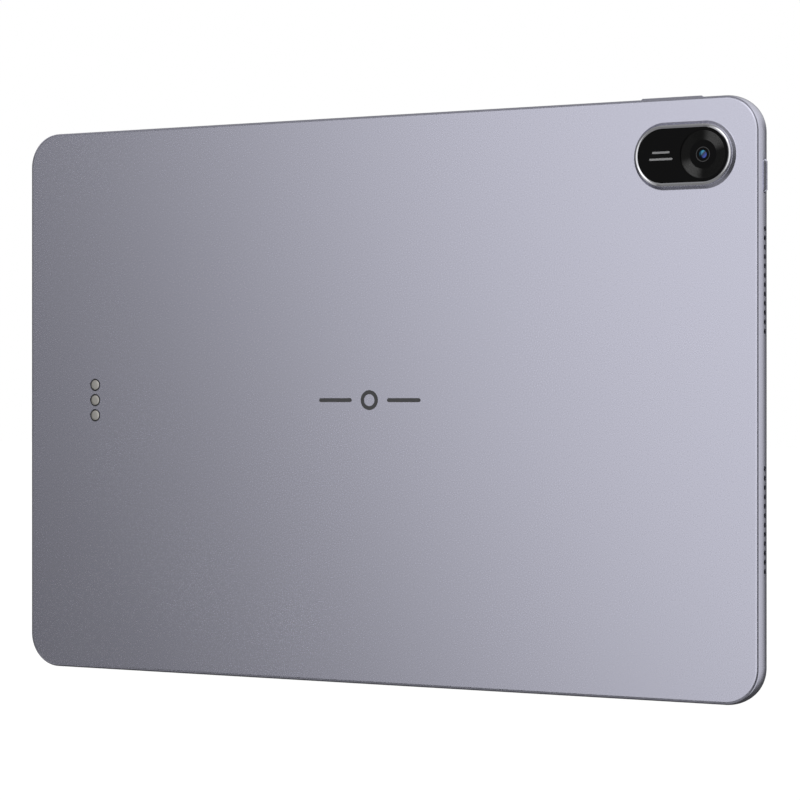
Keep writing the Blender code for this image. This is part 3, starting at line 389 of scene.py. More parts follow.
# The fine pitted surface that blasting leaves, used on every anodised piece.
grain, grain_in, grain_out = group_of(
    "blasted_grain", {"Place": "Vector", "Size": "Float"}, {"Height": "Float", "Shade": "Float"}
)
PIT_SHARE = 0.8
CLOUD_SHARE = 0.2
CLOUD_SCALE = 14.0
pits = node(
    grain, "TexNoise",
    {"Vector": grain_in.outputs["Place"], "Scale": grain_in.outputs["Size"]},
    in_Detail=2.0, in_Roughness=0.6,
)
clouds = node(grain, "TexNoise", {"Vector": grain_in.outputs["Place"]}, in_Scale=CLOUD_SCALE,
              in_Detail=2.0)
pit_share = node(grain, "Math", {0: pits.outputs["Fac"]}, operation="MULTIPLY")
pit_share.inputs[1].default_value = PIT_SHARE
shade = node(grain, "Math", {0: clouds.outputs["Fac"], 2: pit_share.outputs[0]},
             operation="MULTIPLY_ADD")
shade.inputs[1].default_value = CLOUD_SHARE
grain.links.new(pits.outputs["Fac"], grain_out.inputs["Height"])
grain.links.new(shade.outputs[0], grain_out.inputs["Shade"])


def grained(name, dark, light, smooth, rough, size, depth):
    """A blasted and anodised metal: two near shades, two near roughnesses and real pits."""
    material, tree, shader, place = finish_of(name, light, 1.0, rough)
    pitted = node(tree, "Group", {"Place": place}, node_tree=grain, in_Size=size)
    colour = node(tree, "MapRange", {"Value": pitted.outputs["Shade"]}, in_From_Min=0.25,
                  in_From_Max=0.75)
    mix = node(tree, "Mix", {"Factor": colour.outputs["Result"]}, data_type="RGBA")
    mix.inputs[6].default_value, mix.inputs[7].default_value = (*dark, 1), (*light, 1)
    tree.links.new(mix.outputs[2], shader.inputs["Base Color"])
    spread = node(tree, "MapRange", {"Value": pitted.outputs["Shade"]}, in_From_Min=0.25,
                  in_From_Max=0.75, in_To_Min=smooth, in_To_Max=rough)
    tree.links.new(spread.outputs["Result"], shader.inputs["Roughness"])
    bump = node(tree, "Bump", {"Height": pitted.outputs["Height"]}, in_Strength=0.6,
                in_Distance=depth)
    tree.links.new(bump.outputs["Normal"], shader.inputs["Normal"])
    return material


GRAIN_SCALE = 3000.0
GRAIN_DEPTH = 0.0015 * MM
anodised = grained("anodised_lilac_grey", (0.640, 0.640, 0.757), (0.670, 0.670, 0.793),
                   0.26, 0.28, GRAIN_SCALE, GRAIN_DEPTH)
complete(housing, anodised, BODY, "anodised_aluminium", "rear_housing")

# ---------------------------------------------------------------------------------------------
# Mark in the middle of the back. The real tablet has its mark etched there; this is a plain
# ring between two bars, printed in dark grey ink, thin as a coat of paint.
# ---------------------------------------------------------------------------------------------
MARK_CENTRE_X = 0.6 * MM
MARK_RING_RADIUS = 3.1 * MM
MARK_STROKE = 1.25
MARK_BAR_LENGTH = 11.9 * MM
MARK_BAR_CENTRE = 12.3 * MM
INK_THICKNESS = 0.012
INK_ROOT = 0.03
mark = add("circle", "back_mark", vertices=64, radius=MARK_RING_RADIUS, fill_type="NGON",
           rotation=(math.pi / 2, 0, 0), location=(MARK_CENTRE_X, INK_ROOT * MM, 0))
push(y=-(INK_ROOT + INK_THICKNESS) * MM)
climb([(MARK_STROKE, 0), (MARK_STROKE + 0.02, -0.05)])
bpy.ops.object.mode_set(mode="OBJECT")
bars = []
for side in (-1, 1):
    bar = pill(f"mark_bar_{side + 2}", MARK_BAR_LENGTH, MARK_STROKE * MM, 24)
    push(y=-(INK_ROOT + INK_THICKNESS) * MM)
    bars.append(stand(bar, (MARK_CENTRE_X + side * MARK_BAR_CENTRE, INK_ROOT * MM, 0)))
join([mark] + bars)
ink, ink_tree, ink_shader, ink_place = finish_of("mark_ink", (0.10, 0.10, 0.105), 0.3, 0.45)
ink_pits = node(ink_tree, "Group", {"Place": ink_place}, node_tree=grain, in_Size=GRAIN_SCALE)
ink_ramp = node(ink_tree, "MapRange", {"Value": ink_pits.outputs["Shade"]}, in_To_Min=0.40,
                in_To_Max=0.52)
ink_tree.links.new(ink_ramp.outputs["Result"], ink_shader.inputs["Roughness"])
complete(mark, ink, BODY, "black_plastic")

# ---------------------------------------------------------------------------------------------
# Camera ring. A steel ring, turned and mirror-polished, pressed into the foot on the housing;
# two shallow bevels meet at a soft ridge on its face, and its inner edge drops to the window.
# ---------------------------------------------------------------------------------------------
RING_OFFSET = 1.0
RING_RIDGE = 0.34
RING_SUNK = 0.1
ring_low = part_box("camera_ring")[0]
RING_HEIGHT = -(ring_low.y + FOOT_RISE * MM) / MM
ring = pill("ring", GLASS_LENGTH + 2 * RING_OFFSET * MM, GLASS_HEIGHT + 2 * RING_OFFSET * MM, 128)
push(y=-(RING_HEIGHT - RING_RIDGE + RING_SUNK) * MM)
climb([(0.02, 0.06), (0.07, 0.12), (0.14, 0.16), (0.46, 0.32), (0.52, RING_RIDGE), (0.58, 0.32),
       (0.90, 0.16), (0.96, 0.12), (0.985, 0.04), (RING_OFFSET, -0.65), (1.5, -0.67)])
bpy.ops.mesh.delete(type="FACE")
stand(ring, camera_place + Vector((0, (-FOOT_RISE + RING_SUNK) * MM, 0)))
bpy.ops.object.mode_set(mode="EDIT")
pick("FACE", lambda f: len(f.verts) > 4)
bpy.ops.mesh.delete(type="ONLY_FACE")
pick("EDGE", lambda e: e.is_boundary)
bpy.ops.mesh.bridge_edge_loops()


def uneven_finish(name, colour, metallic, smooth, rough, scale, detail=2.0, **more):
    """A material whose roughness wanders between two values in patches of that scale."""
    material, tree, shader, place = finish_of(name, colour, metallic, smooth, **more)
    patches = node(tree, "TexNoise", {"Vector": place}, in_Scale=scale, in_Detail=detail)
    spread = node(tree, "MapRange", {"Value": patches.outputs["Fac"]}, in_To_Min=smooth,
                  in_To_Max=rough)
    tree.links.new(spread.outputs["Result"], shader.inputs["Roughness"])
    return material


polish = uneven_finish("polished_steel_ring", (0.78, 0.78, 0.82), 1.0, 0.10, 0.17, 1800.0, 1.0)
complete(ring, polish, BODY, "polished_steel", "camera_ring")

# ---------------------------------------------------------------------------------------------
# Camera window. One pane of toughened glass, ground to a fine chamfer and printed black behind,
# glued into the ring; the round field over the lens is left clear, so it shows as a shallow well.
# ---------------------------------------------------------------------------------------------
WINDOW_GAP = 0.03
WINDOW_EDGE = 0.14
WINDOW_FRONT = glass_low.y
LENS_SHIFT_X = -0.10 * MM
LENS_WELL_RADIUS = 7.02 * MM
WELL_CHAMFER = 0.05
WELL_CUT = 0.40
WELL_FLOOR = WINDOW_FRONT + 0.30 * MM
trim_low, trim_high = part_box("lens_trim")
lens_place = Vector(((trim_low.x + trim_high.x) / 2 + LENS_SHIFT_X, 0, camera_place.z))


def rounded(radius, steps):
    """Profile points of a rounded outer edge."""
    turn = [math.pi / 2 * (i + 1) / steps for i in range(steps)]
    return [(radius * (1 - math.cos(a)), radius * math.sin(a)) for a in turn]


window = pill("camera_window", GLASS_LENGTH - 2 * WINDOW_GAP * MM,
              GLASS_HEIGHT - 2 * WINDOW_GAP * MM, 128)
push(y=-(glass_high.y - glass_low.y - WINDOW_EDGE * MM))
climb(rounded(WINDOW_EDGE, steps=3))
stand(window, camera_place + Vector((0, glass_high.y, 0)))
well = add("circle", "lens_well", vertices=128, radius=LENS_WELL_RADIUS + WELL_CHAMFER * MM,
           fill_type="NGON", rotation=(-math.pi / 2, 0, 0),
           location=lens_place + Vector((0, WINDOW_FRONT - WELL_CHAMFER * MM, 0)))
push(y=2 * WELL_CHAMFER * MM)
pick("FACE", lambda f: middle(f).y > WINDOW_FRONT and len(f.verts) > 4)
climb([(WELL_CHAMFER, WELL_CHAMFER), (WELL_CHAMFER, WELL_CUT)])
bpy.ops.object.mode_set(mode="OBJECT")
boolean(window, well, "DIFFERENCE")
gloss = uneven_finish("gloss_black_window", (0.0015, 0.0015, 0.002), 0.0, 0.04, 0.11, 160.0, 3.0,
                      Specular_IOR_Level=0.07)
complete(window, gloss, BODY, "camera_glass", "camera_glass")

# The two lines of small print on the window, as two plain pale bars: length and height of each.
PRINT_LINES = ((5.6, 0.98), (7.4, -0.98))
PRINT_STROKE = 0.62 * MM
PRINT_X = 100.5 * MM
PRINT_ROOT = 0.01
PRINT_THICKNESS = 0.012
print_bars = []
for number, (length, height_up) in enumerate(PRINT_LINES, 1):
    line = pill(f"window_print_{number}", length * MM, PRINT_STROKE, 16)
    push(y=-(PRINT_ROOT + PRINT_THICKNESS) * MM)
    line_place = (PRINT_X, WINDOW_FRONT + PRINT_ROOT * MM, camera_place.z + height_up * MM)
    print_bars.append(stand(line, line_place))
print_bars = join(print_bars)
print_bars.name = print_bars.data.name = "window_print"
pale, pale_tree, pale_shader, pale_place = finish_of("pale_print", (0.42, 0.42, 0.43), 0.0, 0.5)
pale_mottle = node(pale_tree, "TexNoise", {"Vector": pale_place}, in_Scale=3000.0)
pale_ramp = node(pale_tree, "ValToRGB", {"Fac": pale_mottle.outputs["Fac"]})
pale_ramp.color_ramp.elements[0].color = (0.36, 0.36, 0.37, 1)
pale_ramp.color_ramp.elements[1].color = (0.48, 0.48, 0.49, 1)
pale_tree.links.new(pale_ramp.outputs["Color"], pale_shader.inputs["Base Color"])
complete(print_bars, pale, BODY, "camera_glass")

# ---------------------------------------------------------------------------------------------
# Lens trim. A disc of aluminium, blacked, with fine turning grooves left on its shallow cone that
# fan light out from its middle, and two fans of painted sheen in its colour; it is glued behind the
# clear field, round the lens barrel.
# ---------------------------------------------------------------------------------------------
GROOVE = 0.12
GROOVE_CREST = 0.022
GROOVE_ROOT = -0.012
RIM_LAND = 0.10
RIM_STEP = 0.05
CONE_START = 0.16
CONE_FALL = 0.16
DISC_RIM = 6.96
DISC_PROUD = 0.04
DISC_BACK = 0.30
BARREL_SEAT = 4.05
CONE_END = DISC_RIM - BARREL_SEAT
disc = add("circle", "lens_disc", vertices=144, radius=DISC_RIM * MM, fill_type="NGON",
           rotation=(math.pi / 2, 0, 0),
           location=lens_place + Vector((0, WELL_FLOOR + DISC_BACK * MM, 0)))
push(y=-(DISC_BACK + DISC_PROUD) * MM)
profile = [(RIM_LAND, 0.0), (CONE_START, -RIM_STEP)]
reach = CONE_START
while reach < CONE_END - 2 * GROOVE:
    fall = -RIM_STEP - CONE_FALL * reach / CONE_END
    profile += [(reach + GROOVE, fall + GROOVE_CREST), (reach + 2 * GROOVE, fall + GROOVE_ROOT)]
    reach += 2 * GROOVE
climb(profile + [(CONE_END, -RIM_STEP - CONE_FALL), (CONE_END + 0.04, -DISC_BACK)])
turned_black, turned_tree, turned_shader, turned_place = finish_of(
    "turned_black_metal", (0.04, 0.04, 0.042), 1.0, 0.24
)
# Painted sheen: two brighter fans, opposite each other across the middle, painted into the base
# colour by angle.
PAINTED_SHEEN_DIRECTION = (0.64, 0, 0.77)
turned_centred = node(turned_tree, "VectorMath", {0: turned_place}, operation="SUBTRACT")
turned_centred.inputs[1].default_value = lens_place
turned_flat = node(turned_tree, "VectorMath", {0: turned_centred.outputs["Vector"]},
                   operation="MULTIPLY")
turned_flat.inputs[1].default_value = (1, 0, 1)
turned_spoke = node(turned_tree, "VectorMath", {0: turned_flat.outputs["Vector"]},
                    operation="NORMALIZE")
sheen_fan_aim = node(turned_tree, "VectorMath", {0: turned_spoke.outputs["Vector"]},
                  operation="DOT_PRODUCT")
sheen_fan_aim.inputs[1].default_value = PAINTED_SHEEN_DIRECTION
sheen_fan_square = node(turned_tree, "Math", {0: sheen_fan_aim.outputs["Value"],
                                           1: sheen_fan_aim.outputs["Value"]}, operation="MULTIPLY")
# The ramp holds the dark and the bright shade of the painted sheen.
painted_sheen_fans = node(turned_tree, "ValToRGB", {"Fac": sheen_fan_square.outputs[0]})
painted_sheen_fans.color_ramp.interpolation = "EASE"
for stop, position, shade in zip(painted_sheen_fans.color_ramp.elements, (0.55, 1.0), (0.016, 0.085)):
    stop.position, stop.color = position, (shade, shade, shade, 1)
turned_tree.links.new(painted_sheen_fans.outputs["Color"], turned_shader.inputs["Base Color"])
turned_noise = node(turned_tree, "TexNoise", {"Vector": turned_place}, in_Scale=2200.0)
turned_ramp = node(turned_tree, "MapRange", {"Value": turned_noise.outputs["Fac"]},
                   in_To_Min=0.20, in_To_Max=0.30)
turned_tree.links.new(turned_ramp.outputs["Result"], turned_shader.inputs["Roughness"])
complete(disc, turned_black, BODY, "lens_black", "lens_trim", angle=5)

# ---------------------------------------------------------------------------------------------
# Lens barrel. A moulded black barrel with stepped baffles that narrow to the front lens, and the
# lens itself: a small ground dome with a blue anti-reflection coat, whose coloured reflections are
# painted into its colour.
# ---------------------------------------------------------------------------------------------
BARREL_RADIUS = 4.10
BARREL_BACK = 0.58
BARREL_RIM = 0.22
barrel = add("circle", "lens_barrel", vertices=96, radius=BARREL_RADIUS * MM, fill_type="NGON",
             rotation=(math.pi / 2, 0, 0),
             location=lens_place + Vector((0, WELL_FLOOR + BARREL_BACK * MM, 0)))
push(y=-(BARREL_BACK - BARREL_RIM) * MM)
climb([(0.10, 0.03), (1.85, 0.03), (1.92, 0.10), (2.12, 0.10), (2.20, 0.04), (2.55, -0.08),
       (2.58, -0.12), (2.72, -0.13)])
moulded = uneven_finish("moulded_black", (0.012, 0.012, 0.014), 0.0, 0.26, 0.42, 1500.0,
                        Coat_Weight=0.5, Coat_Roughness=0.05)
complete(barrel, moulded, BODY, "lens_black")

LENS_RADIUS = 1.50
LENS_BACK = 0.38
LENS_EDGE = 0.04
LENS_DOME = 0.30
front_lens = add("circle", "front_lens", vertices=64, radius=LENS_RADIUS * MM, fill_type="NGON",
                 rotation=(math.pi / 2, 0, 0),
                 location=lens_place + Vector((0, WELL_FLOOR + LENS_BACK * MM, 0)))
push(y=-LENS_EDGE * MM)
dome = [math.pi / 2 * i / 9 for i in range(1, 9)]
climb([(LENS_RADIUS * (1 - math.cos(a)), LENS_DOME * math.sin(a)) for a in dome])
coated, coated_tree, coated_shader, coated_place = finish_of(
    "blue_coated_lens", (0.01, 0.05, 0.16), 0.85, 0.12, Coat_Weight=1.0, Coat_Roughness=0.02
)
# Painted reflection: the lens colour runs from cyan towards the upper left, through dark across the
# middle, to blue towards the lower right.
centred = node(coated_tree, "Mapping", {"Vector": coated_place}, vector_type="POINT")
centred.inputs["Location"].default_value = -lens_place
split = node(coated_tree, "SeparateXYZ", {0: centred.outputs["Vector"]})
slant = node(coated_tree, "Math", {0: split.outputs["X"], 1: split.outputs["Z"]},
             operation="SUBTRACT")
PAINTED_REFLECTION_REACH = 1.6 * MM
painted_reflection_ramp = node(coated_tree, "MapRange", {"Value": slant.outputs[0]},
                 in_From_Min=-PAINTED_REFLECTION_REACH, in_From_Max=PAINTED_REFLECTION_REACH)
painted_reflection_colour = node(coated_tree, "ValToRGB", {"Fac": painted_reflection_ramp.outputs["Result"]})
stops = painted_reflection_colour.color_ramp.elements
stops[0].position, stops[0].color = 0.12, (0.02, 0.34, 0.60, 1)
stops[1].position, stops[1].color = 0.92, (0.02, 0.06, 0.42, 1)
middle_stop = stops.new(0.5)
middle_stop.color = (0.002, 0.004, 0.02, 1)
coated_tree.links.new(painted_reflection_colour.outputs["Color"], coated_shader.inputs["Base Color"])
complete(front_lens, coated, BODY, "lens_black")

# ---------------------------------------------------------------------------------------------
# Keys. Two solid aluminium keys, milled with wide chamfers and anodised with the housing; each
# stands a little proud of its slot and is held behind the wall by a flange.
# ---------------------------------------------------------------------------------------------
KEY_CHAMFER = 0.60
FLANGE_THICKNESS = 0.6 * MM
FLANGE_NARROWER = 0.1 * MM


def make_key(name, length, height):
    """A key lying on its back: its shaft, its flange behind the wall, and its chamfered top."""
    key = pill(name, length, KEY_WIDTH, 64)
    push(y=-(height - KEY_CHAMFER * MM))
    climb([(0.03, 0.05), (KEY_CHAMFER - 0.05, KEY_CHAMFER - 0.03),
           (KEY_CHAMFER, KEY_CHAMFER)])
    bpy.ops.object.mode_set(mode="OBJECT")
    flange = pill(name + "_flange", length + 2 * KEY_FLANGE, KEY_WIDTH - FLANGE_NARROWER, 32)
    push(y=-FLANGE_THICKNESS)
    bpy.ops.object.mode_set(mode="OBJECT")
    boolean(key, flange, "UNION")
    return key


power_key = make_key("power_button", POWER_LENGTH, power_high.x - power_low.x)
stand(power_key, power_place + Vector((power_low.x, 0, 0)), (0, 0, 1), (-1, 0, 0))
complete(power_key, anodised, "power_key", "anodised_aluminium", "power_key")
volume_key = make_key("volume_button", VOLUME_LENGTH, volume_high.z - volume_low.z)
stand(volume_key, volume_place + Vector((0, 0, volume_low.z)), (1, 0, 0), (0, 0, -1))
complete(volume_key, anodised, "volume_key", "anodised_aluminium", "volume_key")

# ---------------------------------------------------------------------------------------------
# Dock contacts. Three nickel-plated brass pads for a keyboard case, turned with a fine edge and
# set flush with the back in the collars of a black moulding.
# ---------------------------------------------------------------------------------------------
CONTACT_RADIUS = 1.62
CONTACT_EDGE = 0.12
CONTACT_ROOT = 1.0 * MM
CONTACT_WALL = 0.90 * MM
contact = add("circle", "contact_pad", vertices=64, radius=CONTACT_RADIUS * MM, fill_type="NGON",
              rotation=(math.pi / 2, 0, 0), location=(0, CONTACT_ROOT, 0))
push(y=-CONTACT_WALL)
climb(rounded(CONTACT_EDGE, steps=3) + [(0.5, 0.125), (1.1, 0.135)])
bpy.ops.object.mode_set(mode="OBJECT")
nickel = uneven_finish("plated_contact", (0.70, 0.68, 0.64), 1.0, 0.28, 0.44, 900.0, 3.0)
pads = copies(contact, "contact_pad", contact_places)
bpy.data.objects.remove(contact)
for pad, name in zip(pads, ("lower", "middle", "upper")):
    complete(pad, nickel, BODY, "contact_metal", f"dock_contact_{name}")

# ---------------------------------------------------------------------------------------------
# Speaker gauze. A strip of black acoustic cloth on a moulded frame lies behind each row of sound
# holes, with a shallow peg of the cloth pressed into every hole.
# ---------------------------------------------------------------------------------------------
PEG_DEPTH = 0.80 * MM
PEG_ROOT = 0.1 * MM
PEG_CLEAR = 0.01 * MM
PEG_EDGE = 0.03
PEG_EDGE_WIDTH = 0.06
STRIP_CORNER = 0.6 * MM
gauze_cloth, cloth_tree, cloth_shader, cloth_place = finish_of(
    "black_gauze", (0.004, 0.004, 0.005), 0.0, 0.85, Specular_IOR_Level=0.2
)
threads = [
    node(cloth_tree, "TexWave", {"Vector": cloth_place}, bands_direction=band,
         in_Scale=1500.0).outputs["Fac"]
    for band in ("Y", "Z")
]
crossing = node(cloth_tree, "Math", {0: threads[0], 1: threads[1]}, operation="MULTIPLY")
cloth_ramp = node(cloth_tree, "ValToRGB", {"Fac": crossing.outputs[0]})
cloth_ramp.color_ramp.elements[0].color = (0.010, 0.010, 0.011, 1)
cloth_ramp.color_ramp.elements[1].color = (0.001, 0.001, 0.001, 1)
cloth_tree.links.new(cloth_ramp.outputs["Color"], cloth_shader.inputs["Base Color"])
gauzes = []
for side, side_name in ((-1, "left"), (1, "right")):
    for row, level_name in zip(hole_rows, ("lower", "upper")):
        gauze_low, gauze_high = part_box(f"speaker_mesh_{level_name}_{side_name}")
        strip = add("cube", f"speaker_gauze_{level_name}_{side_name}", size=1,
                    location=(gauze_low + gauze_high) / 2, scale=gauze_high - gauze_low)
        pick("EDGE", lambda e: abs((e.verts[0].co - e.verts[1].co).x) > 0.1 * MM)
        bpy.ops.mesh.bevel(offset=STRIP_CORNER, segments=5, affect="EDGES")
        bpy.ops.object.mode_set(mode="OBJECT")
        face_x = gauze_high.x if side > 0 else gauze_low.x
        peg = add("circle", "peg", vertices=20, radius=SOUND_HOLE_RADIUS - PEG_CLEAR,
                  fill_type="NGON", rotation=(0, side * math.pi / 2, 0),
                  location=(face_x - side * PEG_ROOT, SOUND_HOLE_Y, 0))
        peg_length = housing_high.x - PEG_DEPTH - abs(face_x) + PEG_ROOT
        push(x=side * (peg_length - PEG_EDGE * MM))
        climb([(PEG_EDGE_WIDTH, PEG_EDGE)])
        bpy.ops.object.mode_set(mode="OBJECT")
        pegs = copies(peg, "peg", [(0, 0, height) for height in row])
        bpy.data.objects.remove(peg)
        gauzes.append(join([strip] + pegs))
for gauze in gauzes:
    complete(gauze, gauze_cloth, BODY, "nickel_mesh", gauze.name.replace("gauze", "mesh"))

# ---------------------------------------------------------------------------------------------
# Charging port. A drawn steel shell with a rolled mouth, set back in the wall, with a thin
# moulded tongue down its middle that carries two rows of gold contacts.
# ---------------------------------------------------------------------------------------------
PORT_WALL = 0.30
PORT_ROLL = 0.10
PORT_BORE = 5.2
port_shell = pill("port_shell", PORT_LENGTH, PORT_WIDTH, 64)
push(y=-(port_high.x - port_low.x - PORT_ROLL * MM))
climb([(0.06, 0.08), (0.14, PORT_ROLL), (PORT_WALL - 0.04, 0.06), (PORT_WALL, -0.05),
       (PORT_WALL + 0.01, -PORT_BORE)])
stand(port_shell, Vector((port_high.x, port_place.y, 0)), (0, 0, 1), (1, 0, 0))
plated = uneven_finish("plated_steel", (0.58, 0.57, 0.55), 1.0, 0.24, 0.42, 700.0, 4.0)
complete(port_shell, plated, BODY, "plated_steel", "usb_port_shell")

TONGUE_CHAMFER = 0.18 * MM
PINS_IN_ROW = 12
PIN_PITCH = 0.5 * MM
PIN_LENGTH = 3.0 * MM
PIN_HEIGHT = 0.05 * MM
PIN_WIDTH = 0.25 * MM
PIN_SET_BACK = 2.0 * MM
PIN_RISE = 0.01 * MM
PIN_EDGE = 0.02 * MM
tongue_low, tongue_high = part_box("usb_port_tongue")
tongue_size = tongue_high - tongue_low
tongue = add("cube", "port_tongue", size=1, location=(tongue_low + tongue_high) / 2,
             scale=tongue_size)
pick("EDGE", lambda e: all(v.co.x < tongue_low.x + TINY for v in e.verts))
bpy.ops.mesh.bevel(offset=TONGUE_CHAMFER, segments=3, affect="EDGES")
complete(tongue, moulded, BODY, "black_plastic", "usb_port_tongue")
pin = add("cube", "port_pin", size=1, scale=(PIN_LENGTH, PIN_HEIGHT, PIN_WIDTH),
          location=(tongue_low.x + PIN_SET_BACK, tongue_low.y - PIN_RISE, 0))
pick("EDGE", lambda e: abs((e.verts[0].co - e.verts[1].co).x) > MM)
bpy.ops.mesh.bevel(offset=PIN_EDGE, segments=2, affect="EDGES")
bpy.ops.object.mode_set(mode="OBJECT")
pins = copies(pin, "port_pin", [
    (0, side * (tongue_size.y + 2 * PIN_RISE), (i - (PINS_IN_ROW - 1) / 2) * PIN_PITCH)
    for side in (0, 1) for i in range(PINS_IN_ROW)
])
bpy.data.objects.remove(pin)
pins = join(pins)
pins.name = pins.data.name = "port_pins"
gold = uneven_finish("gold_plate", (0.85, 0.62, 0.27), 1.0, 0.20, 0.36, 1200.0)
complete(pins, gold, BODY, "contact_metal")

# ---------------------------------------------------------------------------------------------
# Display. A pane of toughened cover glass with a softly ground edge, printed black round the
# picture area, in a black trim frame; the front camera and the light sensor look through it.
# ---------------------------------------------------------------------------------------------
cover_low, cover_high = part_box("cover_glass")
panel_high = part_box("lcd_panel")[1]
COVER_CORNER = 9.51 * MM
COVER_EDGE = 0.20 * MM
EYE_FROM_TOP = 4.935 * MM
EYE_RADIUS = 1.66
EYE_WELL_DEPTH = 0.30
SENSOR_WELL_DEPTH = 0.15
WELL_OVERRUN = 0.1
PICTURE_INSET = 0.6 * MM
PICTURE_BLUR = 0.1 * MM
cover = add("cube", "display_glass", size=1, location=(cover_low + cover_high) / 2,
            scale=cover_high - cover_low)
cover_depth = cover_high.y - cover_low.y
pick("EDGE", lambda e: abs((e.verts[0].co - e.verts[1].co).y) > cover_depth / 2)
bpy.ops.mesh.bevel(offset=COVER_CORNER, segments=24, affect="EDGES")
pick("EDGE", lambda e: all(v.co.y > cover_high.y - TINY for v in e.verts))
bpy.ops.mesh.bevel(offset=COVER_EDGE, segments=4, affect="EDGES")
bpy.ops.object.mode_set(mode="OBJECT")
eye_place = Vector((0, cover_high.y, housing_high.z - EYE_FROM_TOP))
eye_well = add("circle", "eye_well", vertices=64, radius=EYE_RADIUS * MM, fill_type="NGON",
               rotation=(math.pi / 2, 0, 0),
               location=eye_place + Vector((0, WELL_OVERRUN * MM, 0)))
push(y=-(WELL_OVERRUN + EYE_WELL_DEPTH) * MM)
bpy.ops.object.mode_set(mode="OBJECT")
sensor_low, sensor_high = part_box("light_sensor")
sensor_place = (sensor_low + sensor_high) / 2
sensor_well = pill("sensor_well", sensor_high.x - sensor_low.x, sensor_high.z - sensor_low.z, 48)
push(y=-(WELL_OVERRUN + SENSOR_WELL_DEPTH) * MM)
stand(sensor_well, (sensor_place.x, cover_high.y + WELL_OVERRUN * MM, sensor_place.z))
boolean(cover, join([eye_well, sensor_well]), "DIFFERENCE")
pane, pane_tree, pane_shader, pane_place = finish_of(
    "display_pane", (0.004, 0.004, 0.005), 0.0, 0.05, Coat_Weight=0.5, Coat_Roughness=0.02
)
place_split = node(pane_tree, "SeparateXYZ", {0: pane_place})
masks = []
for axis, panel_edge in (("X", panel_high.x), ("Z", panel_high.z)):
    edge = panel_edge - PICTURE_INSET
    size = node(pane_tree, "Math", {0: place_split.outputs[axis]}, operation="ABSOLUTE")
    inside = node(pane_tree, "MapRange", {"Value": size.outputs[0]},
                  in_From_Min=edge + PICTURE_BLUR, in_From_Max=edge - PICTURE_BLUR)
    masks.append(inside.outputs["Result"])
picture = node(pane_tree, "Math", {0: masks[0], 1: masks[1]}, operation="MULTIPLY")
pane_mix = node(pane_tree, "Mix", {"Factor": picture.outputs[0]}, data_type="RGBA")
pane_mix.inputs[6].default_value = (0.0025, 0.0025, 0.003, 1)
pane_mix.inputs[7].default_value = (0.009, 0.0095, 0.012, 1)
pane_tree.links.new(pane_mix.outputs[2], pane_shader.inputs["Base Color"])
touch = node(pane_tree, "TexNoise", {"Vector": pane_place}, in_Scale=26.0, in_Detail=4.0)
touch_spread = node(pane_tree, "MapRange", {"Value": touch.outputs["Fac"]}, in_From_Min=0.35,
                    in_From_Max=0.75, in_To_Min=0.035, in_To_Max=0.085)
pane_tree.links.new(touch_spread.outputs["Result"], pane_shader.inputs["Roughness"])
complete(cover, pane, BODY, "cover_glass", "cover_glass")

EYE_GAP = 0.02
EYE_WALL = 0.10
eye = add("circle", "front_camera_eye", vertices=64, radius=(EYE_RADIUS - EYE_GAP) * MM,
          fill_type="NGON", rotation=(-math.pi / 2, 0, 0),
          location=eye_place - Vector((0, EYE_WELL_DEPTH * MM, 0)))
push(y=EYE_WALL * MM)
climb([(0.05, 0.14), (0.30, 0.14), (0.42, 0.05), (0.85, -0.02), (0.88, 0.0), (1.0, 0.04),
       (1.2, 0.07), (1.45, 0.08)])
complete(eye, moulded, BODY, "lens_black")
SENSOR_GAP = 0.02 * MM
SENSOR_EDGE = 0.06
sensor = pill("light_sensor_filter", sensor_high.x - sensor_low.x - 2 * SENSOR_GAP,
              sensor_high.z - sensor_low.z - 2 * SENSOR_GAP, 48)
push(y=-SENSOR_EDGE * MM)
climb(rounded(SENSOR_EDGE, steps=2))
stand(sensor, (sensor_place.x, cover_high.y - SENSOR_WELL_DEPTH * MM, sensor_place.z),
      (-1, 0, 0), (0, -1, 0))
filter_dark = uneven_finish("sensor_filter", (0.020, 0.008, 0.012), 0.0, 0.10, 0.20, 900.0,
                            Coat_Weight=0.8, Coat_Roughness=0.03)
complete(sensor, filter_dark, BODY, "lens_black")

# ---------------------------------------------------------------------------------------------
# Parts inside. Cells in foil, boards with solder mask, flexes, shields, speakers, magnets and
# gaskets keep their own shapes from the CAD, and take their finishes here.
# ---------------------------------------------------------------------------------------------


def inner_finish(name, dark, light, metallic, low_rough, high_rough, size, depth):
    """A finish with mottled colour, uneven roughness and a slight relief of the given size."""
    material, tree, shader, place = finish_of(name, light, metallic, high_rough)
    noise = node(tree, "TexNoise", {"Vector": place}, in_Scale=size, in_Detail=4.0)
    ramp = node(tree, "ValToRGB", {"Fac": noise.outputs["Fac"]})
    ramp.color_ramp.elements[0].position = 0.3
    ramp.color_ramp.elements[1].position = 0.7
    ramp.color_ramp.elements[0].color = (*dark, 1)
    ramp.color_ramp.elements[1].color = (*light, 1)
    tree.links.new(ramp.outputs["Color"], shader.inputs["Base Color"])
    spread = node(tree, "MapRange", {"Value": noise.outputs["Fac"]}, in_To_Min=low_rough,
                  in_To_Max=high_rough)
    tree.links.new(spread.outputs["Result"], shader.inputs["Roughness"])
    bump = node(tree, "Bump", {"Height": noise.outputs["Fac"]}, in_Strength=0.4,
                in_Distance=depth)
    tree.links.new(bump.outputs["Normal"], shader.inputs["Normal"])
    return material


